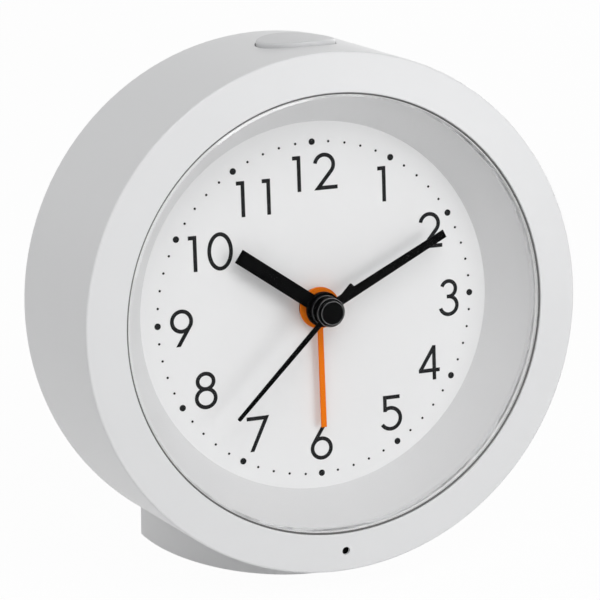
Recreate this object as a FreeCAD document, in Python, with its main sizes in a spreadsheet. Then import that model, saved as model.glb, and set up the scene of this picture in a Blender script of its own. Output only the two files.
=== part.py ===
"""A round table alarm clock that stands on a half-oval foot and leans back a little.

Frames, all in millimetres:
  row frame    +X to the viewer's right, +Y to the back, +Z up, origin under the middle of the clock.
  clock frame  x to the right, y up along the dial, w out of the dial, origin where the hands' axis
               meets the dial. Every part but the foot and its pads is drawn in it (w is its Z axis).
Every driving size is a cell of the sheet "Sizes", and every sketch and feature is bound to it.
"""
import FreeCAD, Part
import math
import os

import Sketcher

SIZES = {
    # stance
    "lean_angle": (4.74, "lean of the dial back from upright, degrees"),
    "rim_height": (0.69, "lowest point of the case, its rear rim, over the table"),
    # case front
    "case_front_radius": (57.3, "outer radius of the face's edge"),
    "case_rear_radius": (58.5, "outer radius of the rear rim"),
    "case_wall": (2.2, "side wall"),
    "face_forward": (12.1, "face's outer edge in front of the dial"),
    "face_wall": (2.2, "thickness of the face at its outer edge"),
    "face_rise": (1.1, "how far the face rises towards its bore"),
    "face_width": (8.75, "face, from its bore to its edge"),
    "edge_round": (0.5, "rounding of the face's outer edge"),
    "bore_round": (0.2, "rounding of the bore's edge"),
    # lens
    "lens_thickness": (1.8, "lens"),
    "lens_recess": (0.2, "lens under the bore's edge"),
    "lens_gap": (0.4, "slit between lens and bore"),
    "lens_bevel_width": (0.55, "bevel round the lens"),
    "lens_bevel_depth": (0.4, "bevel round the lens"),
    "lens_lip": (0.95, "width of the lip that carries the lens"),
    # reflector ring round the dial
    "reflector_run": (6.5, "how far its slope runs inwards"),
    "reflector_wall": (1.5, "wall of the reflector"),
    "reflector_foot_width": (3.35, "base flange outside the dial"),
    "reflector_foot_height": (1.6, "top of its base flange over the dial"),
    # dial
    "dial_lap": (1.9, "dial disc under the reflector"),
    "dial_thickness": (0.4, "printed dial disc"),
    "dial_bore_radius": (4.2, "hole for the hands' tubes"),
    "dial_gap": (0.15, "slit round the dial disc"),
    "dots_inset": (3.9, "ring of dots inside the reflector"),
    "dial_drop": (0.6, "how far the ring of dots is printed under the hands' axis"),
    "hour_dot_radius": (0.72, "large dots"),
    "minute_dot_radius": (0.27, "small dots"),
    "print_height": (0.05, "thickness of the printed ink"),
    "hour_count": (12, "hours on the dial"),
    "minutes_per_hour_mark": (5, "minute steps from one large dot to the next"),
    # dial carrier
    "carrier_thickness": (2.0, "moulded plate behind the dial"),
    "carrier_screw_inset": (3.21, "screws that hold the carrier, outside the bore"),
    "pillar_inset": (4.5, "rear pillars inside the rear cover's wall"),
    "pillar_direction": (30.0, "rear pillars over and under the level, degrees"),
    "pillar_radius": (3.0, "rear pillars"),
    "shelf_half_width": (9.0, "shelf for the snooze switch board"),
    "shelf_thickness": (1.5, "that shelf"),
    "shelf_depth": (11.6, "that shelf behind the carrier"),
    "notch_gap": (1.0, "notch in the carrier, past the snooze button's flange on both sides"),
    # screws
    "screw_radius": (0.9, "thread of the self-tapping screws"),
    "screw_pilot_radius": (0.95, "hole that takes the thread"),
    "screw_clearance_radius": (1.25, "hole that the screw passes"),
    "screw_head_radius": (2.0, "heads"),
    "screw_head_height": (1.4, "heads"),
    "screw_slot_half_width": (0.3, "cross recess in a head"),
    "screw_slot_reach": (1.2, "cross recess in a head"),
    "screw_slot_depth": (0.7, "cross recess in a head"),
    "boss_radius": (2.4, "bosses that take a screw"),
    "screw_bite": (5.0, "length of thread in a boss"),
    "pilot_spare": (1.0, "free depth past the screw's tip"),
    # rear cover
    "cover_bulge": (8.0, "how far the rear cover stands behind the rear rim"),
    "cover_round": (8.0, "rounding of the cover's edge"),
    "cover_wall": (2.0, "rear cover"),
    "cover_gap": (0.3, "slit between cover and case"),
    "cover_lap": (2.5, "rim of the cover inside the case"),
    "well_radius": (2.7, "wells for the cover screws"),
    "well_wall": (1.1, "wall round a well"),
    "well_floor": (2.0, "floor of a well"),
    # battery bay and its door
    "cell_radius": (7.25, "AA cell"),
    "cell_length": (50.5, "AA cell with its button"),
    "cell_button_radius": (2.6, "button of the cell"),
    "cell_button_height": (1.0, "button of the cell"),
    "cell_down": (28.5, "cell's axis under the hands' axis"),
    "bay_gap": (0.4, "room round the cell"),
    "bay_wall": (1.5, "walls of the bay"),
    "bay_floor": (1.2, "front wall of the bay"),
    "bay_clearance": (0.5, "front wall of the bay behind the movement"),
    "bay_spring_room": (5.9, "room for the spring at the cell's flat end"),
    "contact_thickness": (0.4, "contact plates"),
    "contact_half_width": (5.0, "contact plates"),
    "contact_play": (0.1, "cell and spring to the contact plates"),
    "spring_radius": (3.6, "battery spring"),
    "spring_wire_radius": (0.35, "battery spring"),
    "spring_turns": (4.0, "battery spring"),
    "door_thickness": (1.7, "battery door"),
    "door_gap": (0.3, "slit round the door"),
    "door_grip_across": (20.0, "finger grooves right of the axis"),
    "door_grip_pitch": (2.0, "from one finger groove to the next"),
    "door_grip_depth": (0.6, "finger grooves on the door"),
    "door_grip_half_width": (0.5, "finger grooves on the door"),
    "door_grip_half_length": (6.0, "finger grooves on the door"),
    # foot
    "foot_half_width": (29.6, "half-oval plan"),
    "foot_front_length": (39.0, "from its straight back edge to its front"),
    "foot_past_rim": (7.0, "straight back edge behind the case"),
    "foot_top": (10.4, "top of the foot over the table"),
    "foot_bottom": (0.4, "underside over the table, on its pads"),
    "foot_edge_round": (0.4, "upper edge"),
    "seat_gap": (0.05, "glue line between foot and case"),
    "window_half_width": (8.0, "opening in the foot under the rear rim"),
    "window_before_rim": (17.0, "that opening in front of the rear rim"),
    "window_past_rim": (3.4, "that opening behind the rear rim"),
    "foot_screw_across": (20.0, "x of the two foot screws"),
    "foot_screw_back": (18.0, "how far they lie behind the dial"),
    "foot_screw_bite": (3.1, "thread in the foot"),
    "foot_boss_radius": (3.0, "bosses inside the case under their heads"),
    "foot_boss_rise": (1.2, "those bosses over the case's wall"),
    "pad_radius": (4.0, "rubber pads"),
    "pad_thickness": (1.2, "rubber pads"),
    "pad_round": (0.3, "lower edge of the pads"),
    "front_pad_across": (13.5, "x of the front pads"),
    "front_pad_inset": (12.0, "front pads behind the foot's front"),
    "rear_pad_side": (7.6, "rear pads inside the foot's sides"),
    "rear_pad_inset": (6.0, "rear pads before the foot's back edge"),
    # snooze button
    "snooze_back": (7.5, "button's centre behind the dial"),
    "snooze_radius": (8.7, "button"),
    "snooze_gap": (0.3, "slit round the button"),
    "snooze_rise": (1.0, "button over the case"),
    "snooze_round": (0.5, "button's upper edge"),
    "snooze_flange_lap": (0.8, "flange that keeps the button in, under the wall"),
    "snooze_post_length": (3.7, "post under the flange"),
    "snooze_flange_thickness": (1.4, "flange"),
    "snooze_post_radius": (2.0, "post on the switch"),
    "snooze_travel": (0.5, "button's travel"),
    "snooze_spare": (1.0, "carrier's notch under the flange, past its travel"),
    "snooze_board_thickness": (1.0, "board under the switch"),
    "tact_half_width": (3.0, "push switch"),
    "tact_height": (3.4, "push switch"),
    "tact_plunger_radius": (1.7, "its plunger"),
    "tact_plunger_length": (1.4, "its plunger"),
    "tact_plunger_out": (0.8, "plunger over the switch"),
    "plunger_gap": (0.1, "plunger to the button's post"),
    "running_gap": (0.1, "radial clearance of a plunger or setting stem"),
    # light sensor and dial lights
    "sensor_inset": (4.05, "sensor hole outside the bore"),
    "sensor_hole_radius": (0.9, "sensor hole"),
    "sensor_body_radius": (1.5, "light sensor"),
    "sensor_body_length": (3.7, "light sensor"),
    "sensor_leg_radius": (0.25, "its legs"),
    "sensor_leg_place": (0.8, "legs off its axis"),
    "sensor_board_half_width": (4.0, "its board"),
    "sensor_board_in": (4.8, "board towards the dial from the sensor"),
    "sensor_board_out": (1.3, "board past the sensor"),
    "board_thickness": (1.0, "small circuit boards"),
    "light_inset": (2.25, "dial lights outside the bore"),
    "light_board_half_across": (2.8, "their boards"),
    "light_board_half_up": (5.0, "their boards"),
    "light_half_across": (1.0, "LED"),
    "light_half_up": (1.5, "LED"),
    "light_height": (1.4, "LED"),
    "assembly_gap": (0.3, "room between neighbouring parts"),
    # movement case
    "movement_gap": (0.6, "room beside the motor"),
    "movement_wall": (1.4, "side walls and plates"),
    "train_clearance": (1.4, "last wheel over the movement's floor"),
    "movement_split": (7.6, "joint between its two halves, behind the carrier"),
    "movement_post_inset": (3.0, "its screws inside its walls, in x and y"),
    "movement_post_radius": (2.6, "screw posts in its corners"),
    "movement_screw_bite": (1.6, "blind holes in the carrier"),
    "counterbore_depth": (1.6, "sunk seats of the screw heads"),
    "bush_radius": (4.0, "bush round the hands' tubes"),
    "bush_drop": (0.2, "bush under the dial's face"),
    "pivot_depth": (0.8, "blind bearing holes in the plates"),
    "pivot_play": (0.05, "arbor end to the bottom of its hole"),
    # wheels and pinions
    "layer_pitch": (1.6, "from one layer of wheels to the next"),
    "wheel_thickness": (0.8, "wheels and pinions"),
    "first_layer": (1.8, "top of the alarm wheel behind the carrier"),
    "shaft_gap": (0.05, "radial clearance of a shaft in its tube"),
    "second_arbor_radius": (0.6, "arbor of the seconds wheel"),
    "tube_wall": (0.8, "walls of the three tubes"),
    "thin_arbor_radius": (0.4, "arbors of rotor and third wheel"),
    "stud_radius": (0.5, "fixed studs"),
    "stud_past": (0.3, "studs past their wheels"),
    "hub_wall": (0.5, "hubs round the studs"),
    "stem_radius": (1.2, "setting stems"),
    "motion_distance": (8.0, "hands' axis to motion wheel, and motion wheel to setting stem"),
    "train_distance": (13.5, "hands' axis to third wheel"),
    "intermediate_distance": (9.6, "hands' axis to intermediate wheel"),
    "rotor_distance": (8.4, "intermediate wheel to rotor"),
    "alarm_idler_distance": (10.0, "hands' axis to alarm idler"),
    "cannon_teeth": (10, "cannon pinion"),
    "motion_wheel_teeth": (30, "motion wheel"),
    "motion_pinion_teeth": (8, "its pinion"),
    "hour_wheel_teeth": (32, "hour wheel"),
    "time_pinion_teeth": (10, "pinion on the time setting stem"),
    "centre_wheel_teeth": (64, "centre wheel"),
    "third_pinion_teeth": (8, "pinion of the third wheel"),
    "third_wheel_teeth": (60, "third wheel"),
    "second_pinion_teeth": (8, "pinion of the seconds wheel"),
    "second_wheel_teeth": (40, "seconds wheel"),
    "intermediate_pinion_teeth": (8, "pinion of the intermediate wheel"),
    "intermediate_wheel_teeth": (48, "intermediate wheel"),
    "rotor_pinion_teeth": (8, "pinion of the rotor"),
    "alarm_wheel_teeth": (24, "alarm wheel"),
    "alarm_idler_teeth": (16, "alarm idler"),
    "alarm_pinion_teeth": (12, "pinion on the alarm setting stem"),
    "motion_direction": (235.0, "direction of the motion wheel, degrees from x"),
    "alarm_direction": (120.0, "direction of the alarm idler, degrees from x"),
    "pinion_addendum": (0.7, "in modules"),
    "pinion_dedendum": (1.15, "in modules"),
    "pinion_share": (0.36, "tooth over pitch"),
    "pinion_flank": (30.0, "slope of the tooth flanks, degrees"),
    "wheel_addendum": (0.8, "in modules"),
    "wheel_dedendum": (1.0, "in modules"),
    "wheel_share": (0.40, "tooth over pitch"),
    "wheel_flank": (22.0, "slope of the tooth flanks, degrees"),
    "alarm_addendum": (0.7, "in modules"),
    "alarm_dedendum": (1.1, "in modules"),
    "alarm_share": (0.38, "tooth over pitch"),
    "alarm_flank": (20.0, "slope of the tooth flanks, degrees"),
    "gap_overshoot": (0.4, "tooth gap cut past the tip, in modules"),
    # stepper motor
    "magnet_radius": (2.2, "rotor magnet"),
    "magnet_height": (2.0, "rotor magnet"),
    "stator_height": (4.7, "rear face of the stator over the movement's rear"),
    "stator_thickness": (1.0, "stator plate"),
    "stator_hole_radius": (2.7, "hole round the magnet"),
    "stator_past_left": (8.0, "left edge from the rotor"),
    "stator_past_right": (5.6, "right edge of its upper part from the rotor"),
    "stator_up": (8.0, "upper edge"),
    "stator_neck": (4.0, "lower edge of its upper part"),
    "stator_leg_width": (2.2, "legs"),
    "stator_past_leg": (6.8, "outer edge of the right leg from the rotor"),
    "stator_leg_down": (21.5, "end of the legs"),
    "core_half_width": (1.5, "coil core"),
    "core_down": (20.0, "coil core under the hands' axis"),
    "coil_radius": (2.6, "winding"),
    "coil_gap": (0.2, "coil to the legs"),
    "core_gap": (0.05, "core in the coil"),
    "stator_post_radius": (1.0, "posts under the stator"),
    "stator_post_down": (14.0, "two of them under the hands' axis"),
    # circuit board
    "circuit_left": (4.0, "left edge, left of the hands' axis"),
    "circuit_right": (21.5, "right edge"),
    "circuit_bottom": (26.0, "lower edge under the hands' axis"),
    "circuit_top": (14.0, "upper edge under the hands' axis"),
    "crystal_radius": (1.0, "quartz crystal's can"),
    "crystal_length": (6.0, "quartz crystal's can"),
    "crystal_across": (12.0, "its left end"),
    "crystal_down": (23.0, "under the hands' axis"),
    "chip_radius": (3.0, "sealed control chip"),
    "chip_height": (1.1, "sealed control chip"),
    "chip_across": (8.0, "right of the hands' axis"),
    "chip_down": (18.5, "under the hands' axis"),
    "alarm_spring_across": (2.0, "alarm contact spring, left edge"),
    "alarm_spring_width": (2.0, "alarm contact spring"),
    "alarm_spring_thickness": (0.25, "alarm contact spring"),
    "alarm_spring_down": (19.0, "riser under the hands' axis"),
    "alarm_spring_tip": (4.9, "tip under the hands' axis"),
    "alarm_spring_foot": (3.0, "foot on the board"),
    # hands
    "alarm_hub_front": (2.1, "front face of the alarm hand's hub over the dial"),
    "hour_hub_front": (4.2, "front face of the hour hand's hub"),
    "minute_hub_front": (5.5, "front face of the minute hand's hub"),
    "second_hub_front": (8.2, "front face of the second hand's hub"),
    "tube_inset": (0.2, "tubes end behind the hubs' faces"),
    "hand_inset": (0.2, "blades behind the hubs' faces"),
    "hand_thickness": (0.5, "blades"),
    "hub_thickness": (0.8, "hubs of the hands"),
    "press_gap": (0.02, "hands and knobs pressed on their tubes and stems"),
    "hour_hub_radius": (3.9, "hub of the hour hand"),
    "minute_hub_radius": (3.35, "hub of the minute hand"),
    "alarm_hub_radius": (4.6, "hub of the alarm hand"),
    "second_hub_radius": (3.2, "hub of the second hand"),
    "hour_hand_length": (23.6, "to its tip"),
    "hour_hand_half_width": (1.65, "blade"),
    "minute_hand_length": (32.4, "to its tip"),
    "minute_hand_half_width": (0.9, "blade at its tip"),
    "minute_hand_root_half_width": (1.1, "blade at its hub"),
    "second_hand_length": (31.0, "to its tip"),
    "second_hand_half_width": (0.4, "blade at its tip"),
    "second_hand_root_half_width": (0.6, "blade at its hub"),
    "second_tail_length": (7.8, "counterweight"),
    "second_tail_half_width": (0.8, "counterweight"),
    "alarm_hand_length": (27.0, "to its tip"),
    "alarm_hand_half_width": (0.62, "blade"),
    "hand_edge": (0.12, "chamfer on the hands"),
    "blade_round": (0.3, "corners of the second hand's blade"),
    "cap_radius": (2.8, "cap on the second hand"),
    "cap_height": (0.9, "cap on the second hand"),
    "cap_round": (0.35, "its edge"),
    "shown_hour": (10.177, "time at rest, hours"),
    "shown_minute": (10.62, "time at rest, minutes"),
    "shown_second": (37.62, "time at rest, seconds"),
    "shown_alarm": (5.985, "alarm time at rest, hours"),
    # knobs and alarm switch on the back
    "knob_gap": (0.5, "knob behind the cover"),
    "knob_height": (4.5, "knobs"),
    "time_knob_radius": (5.5, "time setting knob"),
    "alarm_knob_radius": (5.0, "alarm setting knob"),
    "knob_bore_depth": (3.5, "stem in the knob"),
    "grip_count": (18, "grip notches round a knob"),
    "grip_radius": (0.45, "grip notches"),
    "knob_round": (0.5, "knob's rear edge"),
    "switch_across": (16.0, "alarm switch right of the axis"),
    "switch_down": (8.0, "alarm switch under the axis"),
    "switch_travel": (3.0, "alarm switch"),
    "slider_half_width": (1.8, "switch button"),
    "slider_half_height": (2.5, "switch button"),
    "slider_rise": (1.3, "switch button over the cover"),
    "slider_stem_half_width": (0.9, "its stem"),
    "slider_stem_half_height": (1.2, "its stem"),
    "slider_stem_reach": (3.0, "stem inside the cover"),
    "slider_rib_half_width": (0.2, "ribs on the button"),
    "slider_rib_rise": (0.25, "ribs on the button"),
    "switch_half_width": (3.2, "switch housing"),
    "switch_half_height": (6.4, "switch housing"),
    "switch_depth": (4.6, "switch housing"),
    "switch_gap": (0.25, "room round the slider"),
    # buzzer
    "buzzer_across": (15.5, "right of the axis"),
    "buzzer_up": (17.0, "over the axis"),
    "buzzer_radius": (11.0, "sounder disc"),
    "buzzer_thickness": (0.4, "sounder disc"),
    "buzzer_ring_wall": (1.2, "ring on the cover that holds it"),
    "buzzer_ledge": (1.0, "ledge under the disc, wide and high"),
    "buzzer_ring_rise": (1.0, "ring over the ledge"),
    "sound_hole_radius": (0.9, "sound holes"),
    "sound_ring_radius": (6.0, "ring of sound holes"),
    "sound_hole_count": (8, "sound holes in the ring"),
}


class Size:
    """A value that keeps its number and its expression on the sheet together."""

    def __init__(self, text, number):
        self.text = text
        self.number = number

    def __add__(self, other):
        return combined(self, "+", other, self.number + number_of(other))

    def __sub__(self, other):
        return combined(self, "-", other, self.number - number_of(other))

    def __mul__(self, other):
        return combined(self, "*", other, self.number * number_of(other))

    def __truediv__(self, other):
        return combined(self, "/", other, self.number / number_of(other))

    def __radd__(self, other):
        return combined(other, "+", self, number_of(other) + self.number)

    def __rsub__(self, other):
        return combined(other, "-", self, number_of(other) - self.number)

    def __rmul__(self, other):
        return combined(other, "*", self, number_of(other) * self.number)

    def __rtruediv__(self, other):
        return combined(other, "/", self, number_of(other) / self.number)

    def __neg__(self):
        return self if self.number == 0.0 else Size(f"(-{self.text})", -self.number)


def number_of(value):
    return value.number if isinstance(value, Size) else value


def text_of(value):
    return value.text if isinstance(value, Size) else repr(value)


def combined(left, sign, right, number):
    return Size(f"({text_of(left)} {sign} {text_of(right)})", number)


def cosine(angle):
    return Size(f"cos({angle.text})", math.cos(math.radians(angle.number)))


def sine(angle):
    return Size(f"sin({angle.text})", math.sin(math.radians(angle.number)))


def square_root(area):
    return Size(f"sqrt({area.text})", math.sqrt(area.number))


def smaller(first, second):
    return Size(f"min({first.text}; {second.text})", min(first.number, second.number))


def larger(first, second):
    return Size(f"max({first.text}; {second.text})", max(first.number, second.number))


def tangent(angle):
    return Size(f"tan({angle.text})", math.tan(math.radians(angle.number)))


ZERO = Size("0", 0.0)
FULL_TURN = 360.0
HALF_TURN = 180.0
EIGHTH_TANGENT = math.tan(math.pi / 8)
NEAR = 0.001
OUTWARD = FreeCAD.Vector(0, 0, 1)
ACROSS = FreeCAD.Vector(1, 0, 0)

doc = FreeCAD.newDocument("alarm_clock")
sheet = doc.addObject("Spreadsheet::Sheet", "Sizes")
for row, (name, (number, note)) in enumerate(SIZES.items(), start=1):
    sheet.set(f"A{row}", name)
    sheet.set(f"B{row}", str(number))
    sheet.set(f"C{row}", note)
    sheet.setAlias(f"B{row}", name)
doc.recompute()


class Sizes:
    """The sheet's cells as attributes: dim.case_wall is the wall's Size."""


dim = Sizes()
for name, (number, note) in SIZES.items():
    setattr(dim, name, Size(f"Sizes.{name}", number))

NODES = []


# ---------------------------------------------------------------- drawing

def plane_of(body, role):
    return next(f for f in body.Origin.OriginFeatures if f.Role == role)


def new_sketch(body, role="XY_Plane", x=ZERO, y=ZERO, lift=ZERO, turn=ZERO, about=OUTWARD):
    """A sketch on one of the body's own planes, moved along it, lifted off it and turned."""
    sketch = body.newObject("Sketcher::SketchObject", f"{body.Name}_sketch")
    sketch.AttachmentSupport = [(plane_of(body, role), "")]
    sketch.MapMode = "FlatFace"
    if turn is not ZERO:
        sketch.AttachmentOffset = FreeCAD.Placement(FreeCAD.Vector(), FreeCAD.Rotation(about, 1))
        sketch.setExpression("AttachmentOffset.Rotation.Angle", turn.text)
    for letter, value in (("x", x), ("y", y), ("z", lift)):
        if value is not ZERO:
            sketch.setExpression(f"AttachmentOffset.Base.{letter}", value.text)
    return sketch


def pin_distance(sketch, kind, geometry, end, value):
    index = sketch.addConstraint(Sketcher.Constraint(kind, -1, 1, geometry, end, value.number))
    sketch.setExpression(f"Constraints[{index}]", value.text)


def pin_point(sketch, geometry, end, x, y):
    """Bind one point of the sketch to the two coordinates."""
    for kind, value, axis in (("DistanceX", x, -2), ("DistanceY", y, -1)):
        if value is ZERO:
            sketch.addConstraint(Sketcher.Constraint("PointOnObject", geometry, end, axis))
        else:
            pin_distance(sketch, kind, geometry, end, value)


def draw_polygon(sketch, points):
    """A closed outline of straight lines through the points."""
    first = sketch.GeometryCount
    count = len(points)
    corners = [FreeCAD.Vector(x.number, y.number, 0) for x, y in points]
    lines = [Part.LineSegment(corners[i], corners[(i + 1) % count]) for i in range(count)]
    sketch.addGeometry(lines, False)
    for i, (x, y) in enumerate(points):
        sketch.addConstraint(Sketcher.Constraint("Coincident", first + i, 2, first + (i + 1) % count, 1))
        pin_point(sketch, first + i, 1, x, y)


def draw_rectangle(sketch, left, right, low, high):
    draw_polygon(sketch, [(left, low), (right, low), (right, high), (left, high)])


def draw_circle(sketch, x, y, radius):
    index = sketch.GeometryCount
    centre = FreeCAD.Vector(x.number, y.number, 0)
    sketch.addGeometry(Part.Circle(centre, FreeCAD.Vector(0, 0, 1), radius.number), False)
    bound = sketch.addConstraint(Sketcher.Constraint("Radius", index, radius.number))
    sketch.setExpression(f"Constraints[{bound}]", radius.text)
    pin_point(sketch, index, 3, x, y)


def draw_oval(sketch, centre_y, half_width, half_height):
    """A full ellipse on the sketch's y axis, held by its two inner axes."""
    centre = FreeCAD.Vector(0, centre_y.number, 0)
    low = FreeCAD.Vector(0, (centre_y - half_height).number, 0)
    right = FreeCAD.Vector(half_width.number, centre_y.number, 0)
    sketch.addGeometry(Part.Ellipse(low, right, centre), False)
    sketch.exposeInternalGeometry(0)
    upright, level = sketch.Geometry[1], sketch.Geometry[2]
    low_end = 1 if upright.StartPoint.y < upright.EndPoint.y else 2
    right_end = 1 if level.StartPoint.x > level.EndPoint.x else 2
    pin_point(sketch, 0, 3, ZERO, centre_y)
    pin_point(sketch, 1, low_end, ZERO, centre_y - half_height)
    pin_distance(sketch, "DistanceX", 2, right_end, half_width)


def extrude(body, kind, sketch, length, reversed_way=False):
    feature = body.newObject(f"PartDesign::{kind}", f"{body.Name}_{kind.lower()}")
    feature.Profile = (sketch, [""])
    feature.Length = length.number
    feature.setExpression("Length", length.text)
    feature.Reversed = reversed_way
    body.Tip = feature
    return feature


def turn_profile(body, kind, sketch, axis="V_Axis"):
    """A Revolution or Groove of the sketch all the way round one of its axes."""
    feature = body.newObject(f"PartDesign::{kind}", f"{body.Name}_{kind.lower()}")
    feature.Profile = (sketch, [""])
    feature.ReferenceAxis = (sketch, [axis])
    feature.Angle = FULL_TURN
    body.Tip = feature
    return feature


def revolve(body, points, kind="Revolution"):
    """Turn an outline of (radius, w) points round the body's w axis."""
    sketch = new_sketch(body, "XZ_Plane")
    draw_polygon(sketch, points)
    return turn_profile(body, kind, sketch)


def add_rods(body, centres, radius, back, front, kind="Pad"):
    """Round rods along w, from back to front, or round holes when kind is Pocket."""
    lift = back if kind == "Pad" else front
    sketch = new_sketch(body, lift=lift)
    for x, y in centres:
        draw_circle(sketch, x, y, radius)
    return extrude(body, kind, sketch, front - back)


def cut_rods(body, centres, radius, back, front):
    return add_rods(body, centres, radius, back, front, "Pocket")


def add_blocks(body, rectangles, back, front, kind="Pad"):
    """Blocks along w, each from (left, right, low, high), or square holes when kind is Pocket."""
    lift = back if kind == "Pad" else front
    sketch = new_sketch(body, lift=lift)
    for left, right, low, high in rectangles:
        draw_rectangle(sketch, left, right, low, high)
    return extrude(body, kind, sketch, front - back)


def cut_blocks(body, rectangles, back, front):
    return add_blocks(body, rectangles, back, front, "Pocket")


def add_upright_rods(body, centres, radius, low, high, kind="Pad"):
    """Round rods along y at the (x, w) centres, or holes when kind is Pocket."""
    # the XZ plane's normal points down y: a pad grows down from it, a pocket cuts up
    lift = -high if kind == "Pad" else -low
    sketch = new_sketch(body, "XZ_Plane", lift=lift)
    for x, w in centres:
        draw_circle(sketch, x, w, radius)
    return extrude(body, kind, sketch, high - low)


def add_cross_rod(body, y, w, radius, left, right, kind="Pad"):
    """A round rod along x, or a hole when kind is Pocket."""
    lift = left if kind == "Pad" else right
    sketch = new_sketch(body, "YZ_Plane", lift=lift)
    draw_circle(sketch, y, w, radius)
    return extrude(body, kind, sketch, right - left)


def repeat_round(body, feature, sketch, count):
    """Repeat the feature evenly about the axis through the sketch's origin."""
    pattern = body.newObject("PartDesign::PolarPattern", f"{body.Name}_pattern")
    pattern.Originals = [feature]
    pattern.Axis = (sketch, ["N_Axis"])
    pattern.Angle = FULL_TURN
    pattern.Occurrences = int(count.number)
    pattern.setExpression("Occurrences", count.text)
    body.Tip = pattern


def round_edges(body, choose, radius, kind="Fillet"):
    """Fillet or chamfer the edges of the body's tip that choose() picks."""
    doc.recompute()
    base = body.Tip
    names = [f"Edge{i}" for i, edge in enumerate(base.Shape.Edges, start=1) if choose(edge)]
    feature = body.newObject(f"PartDesign::{kind}", f"{body.Name}_{kind.lower()}")
    feature.Base = (base, names)
    place = "Radius" if kind == "Fillet" else "Size"
    setattr(feature, place, radius.number)
    feature.setExpression(place, radius.text)
    body.Tip = feature
    return feature


def ring_edge_at(radius, w):
    """Chooses round edges about the w axis with this radius at this height."""
    def choose(edge):
        box = edge.BoundBox
        flat = box.ZLength < NEAR and abs(box.ZMax - w.number) < NEAR
        return flat and abs(box.XMax - radius.number) < NEAR and abs(box.XMin + radius.number) < NEAR
    return choose


def flat_edges_at(w):
    """Chooses every edge that lies in the plane at this height."""
    return lambda edge: edge.BoundBox.ZLength < NEAR and abs(edge.BoundBox.ZMax - w.number) < NEAR


# ---------------------------------------------------------------- where things lie

LAST_LAYER = 6


def layer(number):
    """Front face of a layer of wheels, the alarm wheel's being layer 0."""
    return carrier_back_w - dim.first_layer - dim.layer_pitch * number


lean_sine = sine(dim.lean_angle)
lean_cosine = cosine(dim.lean_angle)

face_w = dim.face_forward
bore_w = face_w + dim.face_rise
face_back_w = face_w - dim.face_wall
lens_front_w = bore_w - dim.lens_recess
lens_back_w = lens_front_w - dim.lens_thickness
bore_radius = dim.case_front_radius - dim.face_width
lip_radius = bore_radius - dim.lens_lip
reflector_low_radius = lip_radius - dim.reflector_run
dial_radius = reflector_low_radius + dim.dial_lap
dots_radius = reflector_low_radius - dim.dots_inset
sensor_down = bore_radius + dim.sensor_inset

# From the dial to the back: carrier, movement, battery bay and its door, which is flush with the cover.
dial_back_w = -dim.dial_thickness
carrier_back_w = dial_back_w - dim.carrier_thickness
movement_ceiling_w = carrier_back_w - dim.movement_wall
movement_split_w = carrier_back_w - dim.movement_split
movement_floor_w = layer(LAST_LAYER) - dim.wheel_thickness - dim.train_clearance
movement_back_w = movement_floor_w - dim.movement_wall
front_pivot_w = movement_ceiling_w + dim.pivot_depth
rear_pivot_w = movement_floor_w - dim.pivot_depth
movement_seat_w = movement_back_w + dim.counterbore_depth
movement_tip_w = carrier_back_w + dim.movement_screw_bite
stator_back_w = movement_back_w + dim.stator_height
stator_front_w = stator_back_w + dim.stator_thickness
core_w = stator_back_w - dim.stator_thickness / 2
board_front_w = movement_floor_w + dim.board_thickness

bay_front_w = movement_back_w - dim.bay_clearance - dim.bay_floor
cell_w = bay_front_w - dim.bay_gap - dim.cell_radius
door_inner_w = cell_w - dim.cell_radius - dim.assembly_gap
cover_back_w = door_inner_w - dim.door_thickness
cover_inner_w = cover_back_w + dim.cover_wall
rear_w = cover_back_w + dim.cover_bulge
pillar_end_w = rear_w + dim.well_floor
knob_front_w = cover_back_w - dim.knob_gap
knob_back_w = knob_front_w - dim.knob_height
stem_end_w = knob_front_w - dim.knob_bore_depth


def along_wall(w, front_radius, front_w):
    """Radius at w of a cone that starts at front_w and widens as much as the case does."""
    widening = dim.case_rear_radius - dim.case_front_radius
    return front_radius + widening * (front_w - w) / (front_w - rear_w)


def case_radius_at(w):
    return along_wall(w, dim.case_front_radius, face_w)


def case_inside_at(w):
    return along_wall(w, dim.case_front_radius - dim.case_wall, face_back_w)


def level_at(radius, across):
    """How high a circle of this radius stands at a distance across from its middle."""
    return square_root(radius * radius - across * across)


widest_radius = larger(dim.case_front_radius, dim.case_rear_radius)
front_hang = dim.case_front_radius * lean_cosine - face_w * lean_sine
rear_hang = dim.case_rear_radius * lean_cosine - rear_w * lean_sine
axis_height = dim.rim_height + larger(front_hang, rear_hang)
cover_room = smaller(case_inside_at(rear_w), case_inside_at(rear_w + dim.cover_lap))
cover_radius = cover_room - dim.cover_gap
carrier_radius = smaller(case_inside_at(dial_back_w), case_inside_at(carrier_back_w)) - dim.assembly_gap
pillar_ring = smaller(cover_radius - dim.cover_wall, carrier_radius) - dim.pillar_inset
pillar_place = (pillar_ring * cosine(dim.pillar_direction), pillar_ring * sine(dim.pillar_direction))
light_room = level_at(carrier_radius, dim.light_board_half_up) - dim.light_board_half_across
light_place = smaller(bore_radius + dim.light_inset, light_room)
head_room = carrier_radius - dim.screw_head_radius - dim.assembly_gap
carrier_screw_ring = smaller(bore_radius + dim.carrier_screw_inset, head_room)
carrier_screw_place = carrier_screw_ring * math.sqrt(0.5)

rotor_across = dim.intermediate_distance + dim.rotor_distance
stator_left = rotor_across + dim.stator_past_left
stator_right = rotor_across - dim.stator_past_right
stator_right_leg = rotor_across - dim.stator_past_leg
third_share = (dim.third_wheel_teeth + 2) / (dim.third_wheel_teeth + dim.second_pinion_teeth)
third_reach = dim.train_distance * (1 + third_share)
movement_half_width = larger(stator_left, third_reach) + dim.movement_gap + dim.movement_wall
movement_post_place = movement_half_width - dim.movement_post_inset

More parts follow.
